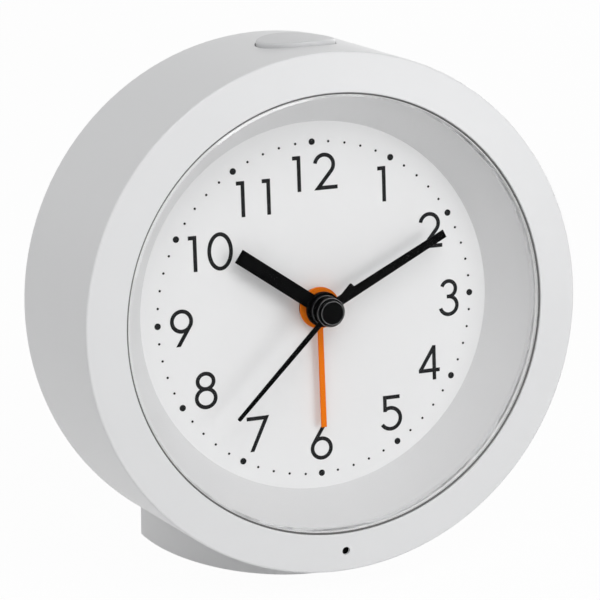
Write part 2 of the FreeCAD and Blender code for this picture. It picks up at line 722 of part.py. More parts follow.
bay_half_width = dim.cell_radius + dim.bay_gap
bay_half_length = (dim.cell_length + dim.bay_spring_room) / 2 + dim.contact_thickness
cell_right = bay_half_length - dim.contact_thickness - dim.contact_play
cell_left = cell_right - dim.cell_length

snooze_w = -dim.snooze_back
snooze_hole_radius = dim.snooze_radius + dim.snooze_gap
flange_radius = snooze_hole_radius + dim.snooze_flange_lap
flange_front = case_inside_at(snooze_w + flange_radius)
flange_rear = case_inside_at(snooze_w - flange_radius)
flange_top = level_at(smaller(flange_front, flange_rear), flange_radius) - dim.assembly_gap
flange_bottom = flange_top - dim.snooze_flange_thickness
post_end = flange_bottom - dim.snooze_post_length
plunger_up = post_end - dim.plunger_gap
tact_up = plunger_up - dim.tact_plunger_out
board_up = tact_up - dim.tact_height
shelf_up = board_up - dim.snooze_board_thickness
notch_up = flange_bottom - dim.snooze_travel - dim.snooze_spare
notch_half_width = flange_radius + dim.notch_gap

foot_screw_w = -dim.foot_screw_back
boss_edge = dim.foot_screw_across + dim.foot_boss_radius
foot_screw_seat = level_at(case_inside_at(foot_screw_w), boss_edge) - dim.foot_boss_rise
foot_screw_tip = level_at(case_radius_at(foot_screw_w), dim.foot_screw_across) + dim.foot_screw_bite
foot_back = dim.foot_past_rim - rear_w
rim_back = -rear_w * lean_cosine - dim.case_rear_radius * lean_sine
window_front = rim_back - dim.window_before_rim
window_back = rim_back + dim.window_past_rim


def away(place, distance, direction):
    x, y = place
    return x + distance * cosine(direction), y + distance * sine(direction)


CENTRE = (ZERO, ZERO)
motion_place = away(CENTRE, dim.motion_distance, dim.motion_direction)
time_stem_place = away(CENTRE, dim.motion_distance * 2, dim.motion_direction)
alarm_idler_place = away(CENTRE, dim.alarm_idler_distance, dim.alarm_direction)
alarm_module = dim.alarm_idler_distance * 2 / (dim.alarm_wheel_teeth + dim.alarm_idler_teeth)
alarm_stem_step = alarm_module * (dim.alarm_idler_teeth + dim.alarm_pinion_teeth) / 2
alarm_stem_place = away(CENTRE, dim.alarm_idler_distance + alarm_stem_step, dim.alarm_direction)
third_place = (dim.train_distance, ZERO)
intermediate_place = (-dim.intermediate_distance, ZERO)
rotor_place = (-dim.intermediate_distance - dim.rotor_distance, ZERO)

# The clock's depth runs from the lower edge of the bore to the alarm knob; its middle is y = 0.
front_reach = bore_w * lean_cosine + bore_radius * lean_sine
rear_reach = (alarm_stem_place[1] + dim.alarm_knob_radius) * lean_sine - knob_back_w * lean_cosine
setback = (front_reach - rear_reach) / 2


def four_corners(across, up):
    return [(across, up), (-across, up), (-across, -up), (across, -up)]


def block_about(x, y, half_width, half_height):
    return x - half_width, x + half_width, y - half_height, y + half_height


def new_body(label):
    body = doc.addObject("PartDesign::Body", label)
    body.Label = label
    NODES.append(body)
    return body


def row_body(label):
    """A body that stands upright, its own y = 0 under the dial's centre."""
    body = new_body(label)
    body.setExpression("Placement.Base.y", setback.text)
    return body


def case_body(label):
    """A body in the clock frame, leaning back with the dial."""
    body = new_body(label)
    body.Placement = FreeCAD.Placement(FreeCAD.Vector(), FreeCAD.Rotation(FreeCAD.Vector(1, 0, 0), 90))
    body.setExpression("Placement.Rotation.Angle", (90 - dim.lean_angle).text)
    body.setExpression("Placement.Base.y", setback.text)
    body.setExpression("Placement.Base.z", axis_height.text)
    return body


def make_screws(label, places, seat_w, tip_w):
    """Cross-recessed screws that point out of the dial, heads behind seat_w."""
    body = case_body(label)
    head_w = seat_w - dim.screw_head_height
    add_rods(body, places, dim.screw_head_radius, head_w, seat_w)
    add_rods(body, places, dim.screw_radius, seat_w, tip_w)
    reach = dim.screw_slot_reach
    width = dim.screw_slot_half_width
    for half_width, half_height in ((reach, width), (width, reach)):
        slots = [block_about(x, y, half_width, half_height) for x, y in places]
        cut_blocks(body, slots, head_w, head_w + dim.screw_slot_depth)


# ---------------------------------------------------------------- case front, lens, dial and foot

def make_front_case():
    """Face ring and side wall in one moulding, with the lip that carries the lens."""
    body = case_body("front_case")
    revolve(body, [
        (bore_radius, bore_w),
        (dim.case_front_radius, face_w),
        (dim.case_rear_radius, rear_w),
        (dim.case_rear_radius - dim.case_wall, rear_w),
        (dim.case_front_radius - dim.case_wall, face_back_w),
        (lip_radius, face_back_w),
        (lip_radius, lens_back_w),
        (bore_radius, lens_back_w),
    ])
    seats = [(dim.foot_screw_across * side, -dim.foot_screw_back) for side in (-1, 1)]
    add_upright_rods(body, seats, dim.foot_boss_radius, -widest_radius, -foot_screw_seat)
    spare_radius = widest_radius + dim.foot_screw_across
    revolve(body, [
        (dim.case_front_radius, face_w),
        (dim.case_rear_radius, rear_w),
        (spare_radius, rear_w),
        (spare_radius, face_w),
    ], "Groove")
    round_edges(body, ring_edge_at(dim.case_front_radius, face_w), dim.edge_round)
    round_edges(body, ring_edge_at(bore_radius, bore_w), dim.bore_round)
    places = four_corners(carrier_screw_place, carrier_screw_place)
    add_rods(body, places, dim.boss_radius, dial_back_w, face_w)
    pilot_depth = dim.screw_bite + dim.pilot_spare
    cut_rods(body, places, dim.screw_pilot_radius, dial_back_w, dial_back_w + pilot_depth)
    cut_rods(body, [(ZERO, -sensor_down)], dim.sensor_hole_radius, face_back_w, bore_w)
    add_upright_rods(body, [(ZERO, snooze_w)], snooze_hole_radius, ZERO, widest_radius, "Pocket")
    holes = new_sketch(body, "XZ_Plane")
    for x, w in seats:
        draw_circle(holes, x, w, dim.screw_clearance_radius)
    extrude(body, "Pocket", holes, widest_radius, reversed_way=True)


def make_lens():
    radius = bore_radius - dim.lens_gap
    revolve(case_body("lens"), [
        (ZERO, lens_back_w),
        (radius, lens_back_w),
        (radius, lens_front_w - dim.lens_bevel_depth),
        (radius - dim.lens_bevel_width, lens_front_w),
        (ZERO, lens_front_w),
    ])


def make_reflector_ring():
    """Sloping ring from the dial up to the lip under the lens, with a flange on the carrier."""
    foot_w = dim.reflector_foot_height
    seat_radius = dial_radius + dim.dial_gap
    boss_room = carrier_screw_ring - dim.boss_radius - dim.assembly_gap
    foot_radius = smaller(seat_radius + dim.reflector_foot_width, boss_room)
    revolve(case_body("reflector_ring"), [
        (reflector_low_radius, ZERO),
        (seat_radius, ZERO),
        (seat_radius, dial_back_w),
        (foot_radius, dial_back_w),
        (foot_radius, foot_w),
        (reflector_low_radius + dim.reflector_wall * 2, foot_w),
        (lip_radius + dim.reflector_wall, face_back_w),
        (lip_radius, face_back_w),
    ])


def make_dial():
    plate = case_body("dial_plate")
    add_rods(plate, [CENTRE], dial_radius, dial_back_w, ZERO)
    cut_rods(plate, [CENTRE], dim.dial_bore_radius, dial_back_w, ZERO)
    make_dots("hour_dots", dim.hour_dot_radius, [ZERO])
    step = FULL_TURN / (dim.hour_count * dim.minutes_per_hour_mark)
    between = [step * i for i in range(1, int(dim.minutes_per_hour_mark.number))]
    make_dots("minute_dots", dim.minute_dot_radius, between)


def make_dots(label, radius, angles):
    """Printed dots at the angles past each hour, repeated for every hour."""
    body = case_body(label)
    sketch = new_sketch(body, y=-dim.dial_drop)
    for angle in angles:
        x = ZERO if angle is ZERO else dots_radius * sine(angle)
        y = dots_radius if angle is ZERO else dots_radius * cosine(angle)
        draw_circle(sketch, x, y, radius)
    dots = extrude(body, "Pad", sketch, dim.print_height)
    repeat_round(body, dots, sketch, dim.hour_count)


def make_carrier():
    """Moulded plate that carries dial, movement, snooze switch and, on pillars, the rear cover."""
    body = case_body("dial_carrier")
    add_rods(body, [CENTRE], carrier_radius, carrier_back_w, dial_back_w)
    pillars = four_corners(*pillar_place)
    add_rods(body, pillars, dim.pillar_radius, pillar_end_w, carrier_back_w)
    pilot_depth = dim.screw_bite + dim.pilot_spare
    cut_rods(body, pillars, dim.screw_pilot_radius, pillar_end_w, pillar_end_w + pilot_depth)
    shelf_back_w = carrier_back_w - dim.shelf_depth
    shelf_low = shelf_up - dim.shelf_thickness
    shelf = (-dim.shelf_half_width, dim.shelf_half_width, shelf_low, shelf_up)
    add_blocks(body, [shelf], shelf_back_w, carrier_back_w)
    notch = (-notch_half_width, notch_half_width, notch_up, widest_radius)
    cut_blocks(body, [notch], carrier_back_w, dial_back_w)
    cut_rods(body, [CENTRE], dim.dial_bore_radius, carrier_back_w, dial_back_w)
    places = four_corners(carrier_screw_place, carrier_screw_place)
    cut_rods(body, places, dim.screw_clearance_radius, carrier_back_w, dial_back_w)
    posts = four_corners(movement_post_place, movement_post_place)
    cut_rods(body, posts, dim.screw_pilot_radius, carrier_back_w, movement_tip_w)
    make_screws("carrier_screws", places, carrier_back_w, dial_back_w + dim.screw_bite)


def make_foot():
    """Half-oval plinth, hollowed on top to the case's side and to the rear cover."""
    body = row_body("foot")
    plan = new_sketch(body, lift=dim.foot_bottom)
    draw_oval(plan, foot_back, dim.foot_half_width, dim.foot_front_length)
    extrude(body, "Pad", plan, dim.foot_top - dim.foot_bottom)
    rear_half = (-dim.foot_half_width, dim.foot_half_width, foot_back, foot_back + dim.foot_front_length)
    cut_blocks(body, [rear_half], dim.foot_bottom, dim.foot_top)
    round_edges(body, flat_edges_at(dim.foot_top), dim.foot_edge_round)
    # a quarter round of the cover is cleared by the two tangents that meet at an eighth of a turn
    tangent_step = dim.cover_round * (1 - EIGHTH_TANGENT)
    clear_radius = cover_radius + dim.assembly_gap
    clear_w = cover_back_w - dim.assembly_gap
    seat_radius = case_radius_at(face_w) + dim.seat_gap
    rim_radius = dim.case_rear_radius + dim.seat_gap
    rim_w = rear_w - dim.seat_gap
    profile = [
        (face_w, ZERO),
        (face_w, seat_radius),
        (rim_w, rim_radius),
        (rim_w, clear_radius),
        (cover_back_w + tangent_step, clear_radius),
        (clear_w, clear_radius - tangent_step),
        (clear_w, ZERO),
    ]
    lean = -dim.lean_angle
    seat = new_sketch(body, "YZ_Plane", y=axis_height, turn=lean)
    draw_polygon(seat, [(-w, radius) for w, radius in profile])
    turn_profile(body, "Groove", seat, "H_Axis")
    window = (-dim.window_half_width, dim.window_half_width, window_front, window_back)
    cut_blocks(body, [window], dim.foot_bottom, dim.foot_top)
    front_y = foot_back - dim.foot_front_length + dim.front_pad_inset
    rear_y = foot_back - dim.rear_pad_inset
    rear_x = dim.foot_half_width - dim.rear_pad_side
    pads = []
    for side in (-1, 1):
        pads.append((dim.front_pad_across * side, front_y))
        pads.append((rear_x * side, rear_y))
    cut_rods(body, pads, dim.pad_radius + dim.running_gap, dim.foot_bottom, dim.pad_thickness)
    bores = new_sketch(body, lift=axis_height, turn=lean, about=ACROSS)
    for side in (-1, 1):
        draw_circle(bores, dim.foot_screw_across * side, dim.foot_screw_back, dim.screw_pilot_radius)
    extrude(body, "Pocket", bores, foot_screw_tip + dim.pilot_spare / 2)

    rubber = row_body("foot_pads")
    add_rods(rubber, pads, dim.pad_radius, ZERO, dim.pad_thickness)
    round_edges(rubber, flat_edges_at(ZERO), dim.pad_round)

    screws = case_body("foot_screws")
    places = [(dim.foot_screw_across * side, -dim.foot_screw_back) for side in (-1, 1)]
    seat_y = -foot_screw_seat
    add_upright_rods(screws, places, dim.screw_head_radius, seat_y, seat_y + dim.screw_head_height)
    add_upright_rods(screws, places, dim.screw_radius, -foot_screw_tip, seat_y)


# ---------------------------------------------------------------- snooze button and lights

def make_snooze():
    """Round button in the side wall on top, its flange under the wall, and the switch below it."""
    place = [(ZERO, snooze_w)]
    button = case_body("snooze_button")
    high = widest_radius + dim.snooze_rise * 2
    add_upright_rods(button, place, dim.snooze_radius, flange_top, high)
    add_upright_rods(button, place, flange_radius, flange_bottom, flange_top)
    add_upright_rods(button, place, dim.snooze_post_radius, post_end, flange_bottom)
    trim_radius = high + dim.snooze_radius
    revolve(button, [
        (dim.case_front_radius + dim.snooze_rise, face_w),
        (dim.case_rear_radius + dim.snooze_rise, rear_w),
        (trim_radius, rear_w),
        (trim_radius, face_w),
    ], "Groove")
    top = flange_top.number + dim.snooze_rise.number
    round_edges(button, lambda edge: edge.BoundBox.YMin > top, dim.snooze_round)

    board_front_edge = carrier_back_w - dim.assembly_gap
    board_back_edge = carrier_back_w - dim.shelf_depth
    board = case_body("snooze_board")
    plate = (-dim.shelf_half_width, dim.shelf_half_width, shelf_up, board_up)
    add_blocks(board, [plate], board_back_edge, board_front_edge)

    switch = case_body("tact_switch")
    half = dim.tact_half_width
    add_blocks(switch, [(-half, half, board_up, tact_up)], snooze_w - half, snooze_w + half)
    bore = dim.tact_plunger_radius + dim.running_gap
    bore_end = plunger_up - dim.tact_plunger_length - dim.snooze_travel - dim.running_gap
    add_upright_rods(switch, place, bore, bore_end, tact_up, "Pocket")

    plunger = case_body("tact_plunger")
    low = plunger_up - dim.tact_plunger_length
    add_upright_rods(plunger, place, dim.tact_plunger_radius, low, plunger_up)


def make_sensor_and_lights():
    """Light sensor under its hole in the face, and a dial light on either side of the reflector."""
    board_w = dial_back_w + dim.board_thickness
    sensor_top = face_back_w - dim.assembly_gap
    sensor_low = sensor_top - dim.sensor_body_length
    sensor_y = -sensor_down

    board = case_body("sensor_board")
    edge_room = level_at(carrier_radius, dim.sensor_board_half_width)
    low = -smaller(sensor_down + dim.sensor_board_out, edge_room)
    high = sensor_y + dim.sensor_board_in
    plate = (-dim.sensor_board_half_width, dim.sensor_board_half_width, low, high)
    add_blocks(board, [plate], dial_back_w, board_w)

    sensor = case_body("light_sensor")
    add_rods(sensor, [(ZERO, sensor_y)], dim.sensor_body_radius, sensor_low, sensor_top)
    legs = [(dim.sensor_leg_place * side, sensor_y) for side in (-1, 1)]
    add_rods(sensor, legs, dim.sensor_leg_radius, board_w, sensor_low)

    boards = case_body("light_boards")
    lights = case_body("dial_lights")
    places = [(light_place * side, ZERO) for side in (-1, 1)]
    plates = [block_about(x, y, dim.light_board_half_across, dim.light_board_half_up) for x, y in places]
    add_blocks(boards, plates, dial_back_w, board_w)
    leds = [block_about(x, y, dim.light_half_across, dim.light_half_up) for x, y in places]
    add_blocks(lights, leds, board_w, board_w + dim.light_height)


# ---------------------------------------------------------------- rear cover, battery and buzzer

def make_rear_cover():
    """Dished cover with screw wells, battery bay, stem holes, buzzer ring and switch slot."""
    body = case_body("rear_cover")
    front_w = rear_w + dim.cover_lap
    inner_radius = cover_radius - dim.cover_wall
    revolve(body, [
        (ZERO, cover_back_w),
        (cover_radius, cover_back_w),
        (cover_radius, front_w),
        (inner_radius, front_w),
        (inner_radius, cover_inner_w),
        (ZERO, cover_inner_w),
    ])
    round_edges(body, ring_edge_at(cover_radius, cover_back_w), dim.cover_round)
    round_edges(body, ring_edge_at(inner_radius, cover_inner_w), dim.cover_round - dim.cover_wall)

    wells = four_corners(*pillar_place)
    add_rods(body, wells, dim.well_radius + dim.well_wall, cover_back_w + dim.cover_wall / 2, pillar_end_w)
    cut_rods(body, wells, dim.well_radius, cover_back_w, rear_w)
    cut_rods(body, wells, dim.screw_clearance_radius, rear_w, pillar_end_w)

    down = -dim.cell_down
    wall = dim.bay_wall
    bay = block_about(ZERO, down, bay_half_length + wall, bay_half_width + wall)
    add_blocks(body, [bay], cover_inner_w, bay_front_w + dim.bay_floor)
    recess = block_about(ZERO, down, bay_half_length + wall, bay_half_width + wall)
    cut_blocks(body, [recess], cover_back_w, door_inner_w)
    cut_blocks(body, [block_about(ZERO, down, bay_half_length, bay_half_width)], door_inner_w, bay_front_w)

    stems = [time_stem_place, alarm_stem_place]
    cut_rods(body, stems, dim.stem_radius + dim.running_gap, cover_back_w, cover_inner_w)

    buzzer = [(dim.buzzer_across, dim.buzzer_up)]
    disc_radius = dim.buzzer_radius + dim.running_gap
    ledge_w = cover_inner_w + dim.buzzer_ledge
    ring_w = ledge_w + dim.buzzer_ring_rise
    add_rods(body, buzzer, disc_radius + dim.buzzer_ring_wall, cover_inner_w, ring_w)
    cut_rods(body, buzzer, disc_radius, ledge_w, ring_w)
    cut_rods(body, buzzer, disc_radius - dim.buzzer_ledge, cover_inner_w, ledge_w)
    cut_rods(body, buzzer, dim.sound_hole_radius, cover_back_w, cover_inner_w)
    ring = new_sketch(body, x=dim.buzzer_across, y=dim.buzzer_up, lift=cover_inner_w)
    draw_circle(ring, dim.sound_ring_radius, ZERO, dim.sound_hole_radius)
    hole = extrude(body, "Pocket", ring, dim.cover_wall)
    repeat_round(body, hole, ring, dim.sound_hole_count)

    cut_blocks(body, [switch_slot()], cover_back_w, cover_inner_w)
    make_screws("cover_screws", wells, rear_w, pillar_end_w + dim.screw_bite)


def switch_slot():
    """Outline of the slot that the alarm switch's stem runs in."""
    x, y = dim.switch_across, -dim.switch_down
    left, right, low, high = block_about(x, y, dim.slider_stem_half_width, dim.slider_stem_half_height)
    gap = dim.switch_gap
    return left - gap, right + gap, low - gap, high + dim.switch_travel + gap


def make_battery():
    """Door, AA cell and its contacts."""
    down = -dim.cell_down
    door = case_body("battery_door")
    slit = dim.bay_wall - dim.door_gap
    plate = block_about(ZERO, down, bay_half_length + slit, bay_half_width + slit)
    add_blocks(door, [plate], cover_back_w, door_inner_w)
    grooves = []
    for step in (-1, 0, 1):
        x = dim.door_grip_across + dim.door_grip_pitch * step
        grooves.append(block_about(x, down, dim.door_grip_half_width, dim.door_grip_half_length))
    cut_blocks(door, grooves, cover_back_w, cover_back_w + dim.door_grip_depth)

    cell = case_body("battery_cell")
    button_left = cell_right - dim.cell_button_height
    add_cross_rod(cell, down, cell_w, dim.cell_radius, cell_left, button_left)
    add_cross_rod(cell, down, cell_w, dim.cell_button_radius, button_left, cell_right)

    thickness = dim.contact_thickness
    half = dim.contact_half_width
    inside = bay_half_length - thickness
    low, high = down - half, down + half
    positive = case_body("battery_contact_positive")
    add_blocks(positive, [(inside, bay_half_length, low, high)], cell_w - half, cell_w + half)
    negative = case_body("battery_contact_negative")
    add_blocks(negative, [(-bay_half_length, -inside, low, high)], cell_w - half, cell_w + half)

    spring = case_body("battery_spring")
    wire = dim.spring_wire_radius
    start = wire - inside + dim.contact_play
    sketch = new_sketch(spring, x=start, y=down, lift=cell_w)
    draw_circle(sketch, ZERO, dim.spring_radius, wire)
    room = cell_left + inside - wire * 2 - dim.contact_play * 2
    coil = spring.newObject("PartDesign::AdditiveHelix", "battery_spring_coil")
    coil.Profile = (sketch, [""])
    coil.ReferenceAxis = (sketch, ["H_Axis"])
    coil.Pitch = (room / dim.spring_turns).number
    coil.Height = room.number
    coil.setExpression("Pitch", (room / dim.spring_turns).text)
    coil.setExpression("Height", room.text)
    spring.Tip = coil


def make_buzzer_and_switch():
    buzzer = case_body("buzzer_disc")
    low = cover_inner_w + dim.buzzer_ledge
    place = [(dim.buzzer_across, dim.buzzer_up)]
    add_rods(buzzer, place, dim.buzzer_radius, low, low + dim.buzzer_thickness)

    x, y = dim.switch_across, -dim.switch_down
    stem_w = cover_inner_w + dim.slider_stem_reach
    button_w = cover_back_w - dim.switch_gap
    slider = case_body("alarm_switch_slider")
    stem = block_about(x, y, dim.slider_stem_half_width, dim.slider_stem_half_height)
    add_blocks(slider, [stem], button_w, stem_w)
    button = block_about(x, y, dim.slider_half_width, dim.slider_half_height)
    back_w = button_w - dim.slider_rise
    add_blocks(slider, [button], back_w, button_w)
    rib = block_about(x, y, dim.slider_half_width, dim.slider_rib_half_width)
    add_blocks(slider, [rib], back_w - dim.slider_rib_rise, back_w)

    housing = case_body("alarm_switch_body")
    middle = y + dim.switch_travel / 2
    outline = block_about(x, middle, dim.switch_half_width, dim.switch_half_height)
    add_blocks(housing, [outline], cover_inner_w, cover_inner_w + dim.switch_depth)
    cut_blocks(housing, [switch_slot()], cover_inner_w, stem_w + dim.switch_gap)


# ---------------------------------------------------------------- movement

def hollow_box(body, back, front, floor_back, floor_front):
    """A square box along w, open except for the plate from floor_back to floor_front."""
    half = movement_half_width
    inner = half - dim.movement_wall
    add_blocks(body, [block_about(ZERO, ZERO, half, half)], back, front)
    hollow_back = back if floor_front is front else floor_front
    hollow_front = floor_back if floor_front is front else front
    cut_blocks(body, [block_about(ZERO, ZERO, inner, inner)], hollow_back, hollow_front)


def make_movement_case():
    """Two square halves that meet half way and are screwed to the carrier at their corners."""
    posts = four_corners(movement_post_place, movement_post_place)
    front = case_body("movement_front")
    hollow_box(front, movement_split_w, carrier_back_w, movement_ceiling_w, carrier_back_w)
    add_rods(front, posts, dim.movement_post_radius, movement_split_w, movement_ceiling_w)
    add_rods(front, [CENTRE], dim.bush_radius, carrier_back_w, -dim.bush_drop)
    studs = [motion_place, alarm_idler_place]
    lowest = layer(2) - dim.wheel_thickness - dim.stud_past
    add_rods(front, [studs[0]], dim.stud_radius, lowest, movement_ceiling_w)
    lowest = layer(0) - dim.wheel_thickness - dim.stud_past
    add_rods(front, [studs[1]], dim.stud_radius, lowest, movement_ceiling_w)
    cut_rods(front, posts, dim.screw_pilot_radius, movement_split_w, carrier_back_w)
    cut_rods(front, [CENTRE], alarm_tube_radius + dim.shaft_gap, movement_ceiling_w, -dim.bush_drop)
    thin = [third_place, rotor_place]
    cut_rods(front, thin, dim.thin_arbor_radius + dim.shaft_gap, movement_ceiling_w, front_pivot_w)

    back = case_body("movement_back")
    hollow_box(back, movement_back_w, movement_split_w, movement_back_w, movement_floor_w)
    add_rods(back, posts, dim.movement_post_radius, movement_floor_w, movement_split_w)
    add_rods(back, [intermediate_place], dim.stud_radius, movement_floor_w, layer(5) + dim.stud_past)
    add_rods(back, stator_posts(), dim.stator_post_radius, movement_floor_w, stator_back_w)
    cut_rods(back, posts, dim.screw_head_radius + dim.running_gap, movement_back_w, movement_seat_w)
    cut_rods(back, posts, dim.screw_pilot_radius, movement_seat_w, movement_split_w)
    cut_rods(back, thin, dim.thin_arbor_radius + dim.shaft_gap, rear_pivot_w, movement_floor_w)
    cut_rods(back, [CENTRE], dim.second_arbor_radius + dim.shaft_gap, rear_pivot_w, movement_floor_w)
    stems = [time_stem_place, alarm_stem_place]
    cut_rods(back, stems, dim.stem_radius + dim.running_gap, movement_back_w, movement_floor_w)

    make_screws("movement_screws", posts, movement_seat_w, movement_tip_w)


def stator_posts():
    """Posts under the stator's upper left corner and under its two legs."""
    left_leg = dim.stator_leg_width / 2 - stator_left
    right_leg = dim.stator_leg_width / 2 - stator_right_leg - dim.stator_leg_width
    return [
        (left_leg, dim.stator_up - dim.stator_leg_width),
        (left_leg, -dim.stator_post_down),
        (right_leg, -dim.stator_post_down),
    ]


def make_motor():
    """Stator plate, coil core, winding and the rotor's magnet between them."""
    stator = case_body("stator")
    leg = dim.stator_leg_width
    draw = new_sketch(stator, lift=stator_back_w)
    draw_polygon(draw, [
        (-stator_left, -dim.stator_leg_down),
        (leg - stator_left, -dim.stator_leg_down),
        (leg - stator_left, -dim.stator_neck),
        (-stator_right_leg - leg, -dim.stator_neck),
        (-stator_right_leg - leg, -dim.stator_leg_down),
        (-stator_right_leg, -dim.stator_leg_down),
        (-stator_right_leg, -dim.stator_neck),
        (-stator_right, -dim.stator_neck + leg),
        (-stator_right, dim.stator_up),
        (-stator_left, dim.stator_up),
    ])
    extrude(stator, "Pad", draw, dim.stator_thickness)
    cut_rods(stator, [rotor_place], dim.stator_hole_radius, stator_back_w, stator_front_w)

    core = case_body("coil_core")
    core_low, core_high = -dim.core_down - dim.core_half_width, -dim.core_down + dim.core_half_width
    core_back_w = stator_back_w - dim.stator_thickness
    bar = (-stator_left, -stator_right_leg, core_low, core_high)
    add_blocks(core, [bar], core_back_w, stator_back_w)

    coil = case_body("stepper_coil")
    left = leg - stator_left + dim.coil_gap
    right = -stator_right_leg - leg - dim.coil_gap
    add_cross_rod(coil, -dim.core_down, core_w, dim.coil_radius, left, right)
    gap = dim.core_gap
    hole = (left, right, core_low - gap, core_high + gap)
    cut_blocks(coil, [hole], core_back_w - gap, stator_back_w + gap)

    rotor = case_body("rotor")
    arbor_ends = rear_pivot_w + dim.pivot_play, front_pivot_w - dim.pivot_play
    add_rods(rotor, [rotor_place], dim.thin_arbor_radius, *arbor_ends)
    magnet_back = (stator_back_w + stator_front_w) / 2 - dim.magnet_height / 2
    add_rods(rotor, [rotor_place], dim.magnet_radius, magnet_back, magnet_back + dim.magnet_height)
    add_gear(rotor, LAST_LAYER, rotor_place, dim.rotor_pinion_teeth, rotor_module, PINION_FORM,
             mesh(ZERO, dim.intermediate_wheel_teeth, dim.rotor_pinion_teeth, LEFTWARD))


def make_electronics():
    """Circuit board on the movement's floor with crystal, sealed chip and alarm contact spring."""
    board = case_body("circuit_board")
    plate = (-dim.circuit_left, dim.circuit_right, -dim.circuit_bottom, -dim.circuit_top)
    add_blocks(board, [plate], movement_floor_w, board_front_w)

    crystal = case_body("quartz_crystal")
    left = dim.crystal_across
    crystal_w = board_front_w + dim.crystal_radius
    add_cross_rod(crystal, -dim.crystal_down, crystal_w, dim.crystal_radius, left, left + dim.crystal_length)

    chip = case_body("control_chip")
    place = [(dim.chip_across, -dim.chip_down)]
    add_rods(chip, place, dim.chip_radius, board_front_w, board_front_w + dim.chip_height)
    round_edges(chip, flat_edges_at(board_front_w + dim.chip_height), dim.chip_height / 2)

    spring = case_body("alarm_contact_spring")
    left = dim.alarm_spring_across
    right = left + dim.alarm_spring_width
    strip = dim.alarm_spring_thickness
    riser = -dim.alarm_spring_down
    tip_w = layer(0) - dim.wheel_thickness - dim.assembly_gap
    foot = (left, right, riser - dim.alarm_spring_foot, riser)
    add_blocks(spring, [foot], board_front_w, board_front_w + strip)
    add_blocks(spring, [(left, right, riser - strip, riser)], board_front_w, tip_w)
    add_blocks(spring, [(left, right, riser - strip, -dim.alarm_spring_tip)], tip_w - strip, tip_w)


# ---------------------------------------------------------------- wheels

PINION_FORM = (dim.pinion_addendum, dim.pinion_dedendum, dim.pinion_share, dim.pinion_flank)
WHEEL_FORM = (dim.wheel_addendum, dim.wheel_dedendum, dim.wheel_share, dim.wheel_flank)
ALARM_FORM = (dim.alarm_addendum, dim.alarm_dedendum, dim.alarm_share, dim.alarm_flank)
LEFTWARD = Size("180", HALF_TURN)
RIGHTWARD = ZERO

motion_module = dim.motion_distance * 2 / (dim.cannon_teeth + dim.motion_wheel_teeth)
hour_module = dim.motion_distance * 2 / (dim.motion_pinion_teeth + dim.hour_wheel_teeth)
centre_module = dim.train_distance * 2 / (dim.centre_wheel_teeth + dim.third_pinion_teeth)
third_module = dim.train_distance * 2 / (dim.third_wheel_teeth + dim.second_pinion_teeth)
second_module = dim.intermediate_distance * 2 / (dim.second_wheel_teeth + dim.intermediate_pinion_teeth)
rotor_module = dim.rotor_distance * 2 / (dim.intermediate_wheel_teeth + dim.rotor_pinion_teeth)

cannon_bore = dim.second_arbor_radius + dim.shaft_gap
cannon_radius = cannon_bore + dim.tube_wall
hour_bore = cannon_radius + dim.shaft_gap
hour_tube_radius = hour_bore + dim.tube_wall
alarm_bore = hour_tube_radius + dim.shaft_gap
alarm_tube_radius = alarm_bore + dim.tube_wall


def mesh(gap, teeth, other_teeth, direction):
    """Direction of a tooth gap on the other wheel, so that it takes a tooth of this one."""
    tooth = gap + HALF_TURN / teeth
    return direction + HALF_TURN - (tooth - direction) * teeth / other_teeth


def add_gear(body, number, place, teeth, module, form, gap):
    """A toothed disc in the numbered layer, one tooth gap pointing in the gap's direction."""
    addendum, dedendum, share, flank = form
    front = layer(number)
    back = front - dim.wheel_thickness
    pitch_radius = module * teeth / 2
    tip = pitch_radius + addendum * module
    root = pitch_radius - dedendum * module
    past = tip + dim.gap_overshoot * module
    half_gap = module * math.pi * (1 - share) / 2
    slope = tangent(flank)
    at_root = half_gap + (root - pitch_radius) * slope
    at_past = half_gap + (past - pitch_radius) * slope
    add_rods(body, [place], tip, back, front)
    sketch = new_sketch(body, x=place[0], y=place[1], lift=front, turn=gap)
    draw_polygon(sketch, [(root, -at_root), (past, -at_past), (past, at_past), (root, at_root)])
    cut = extrude(body, "Pocket", sketch, dim.wheel_thickness)
    repeat_round(body, cut, sketch, teeth)


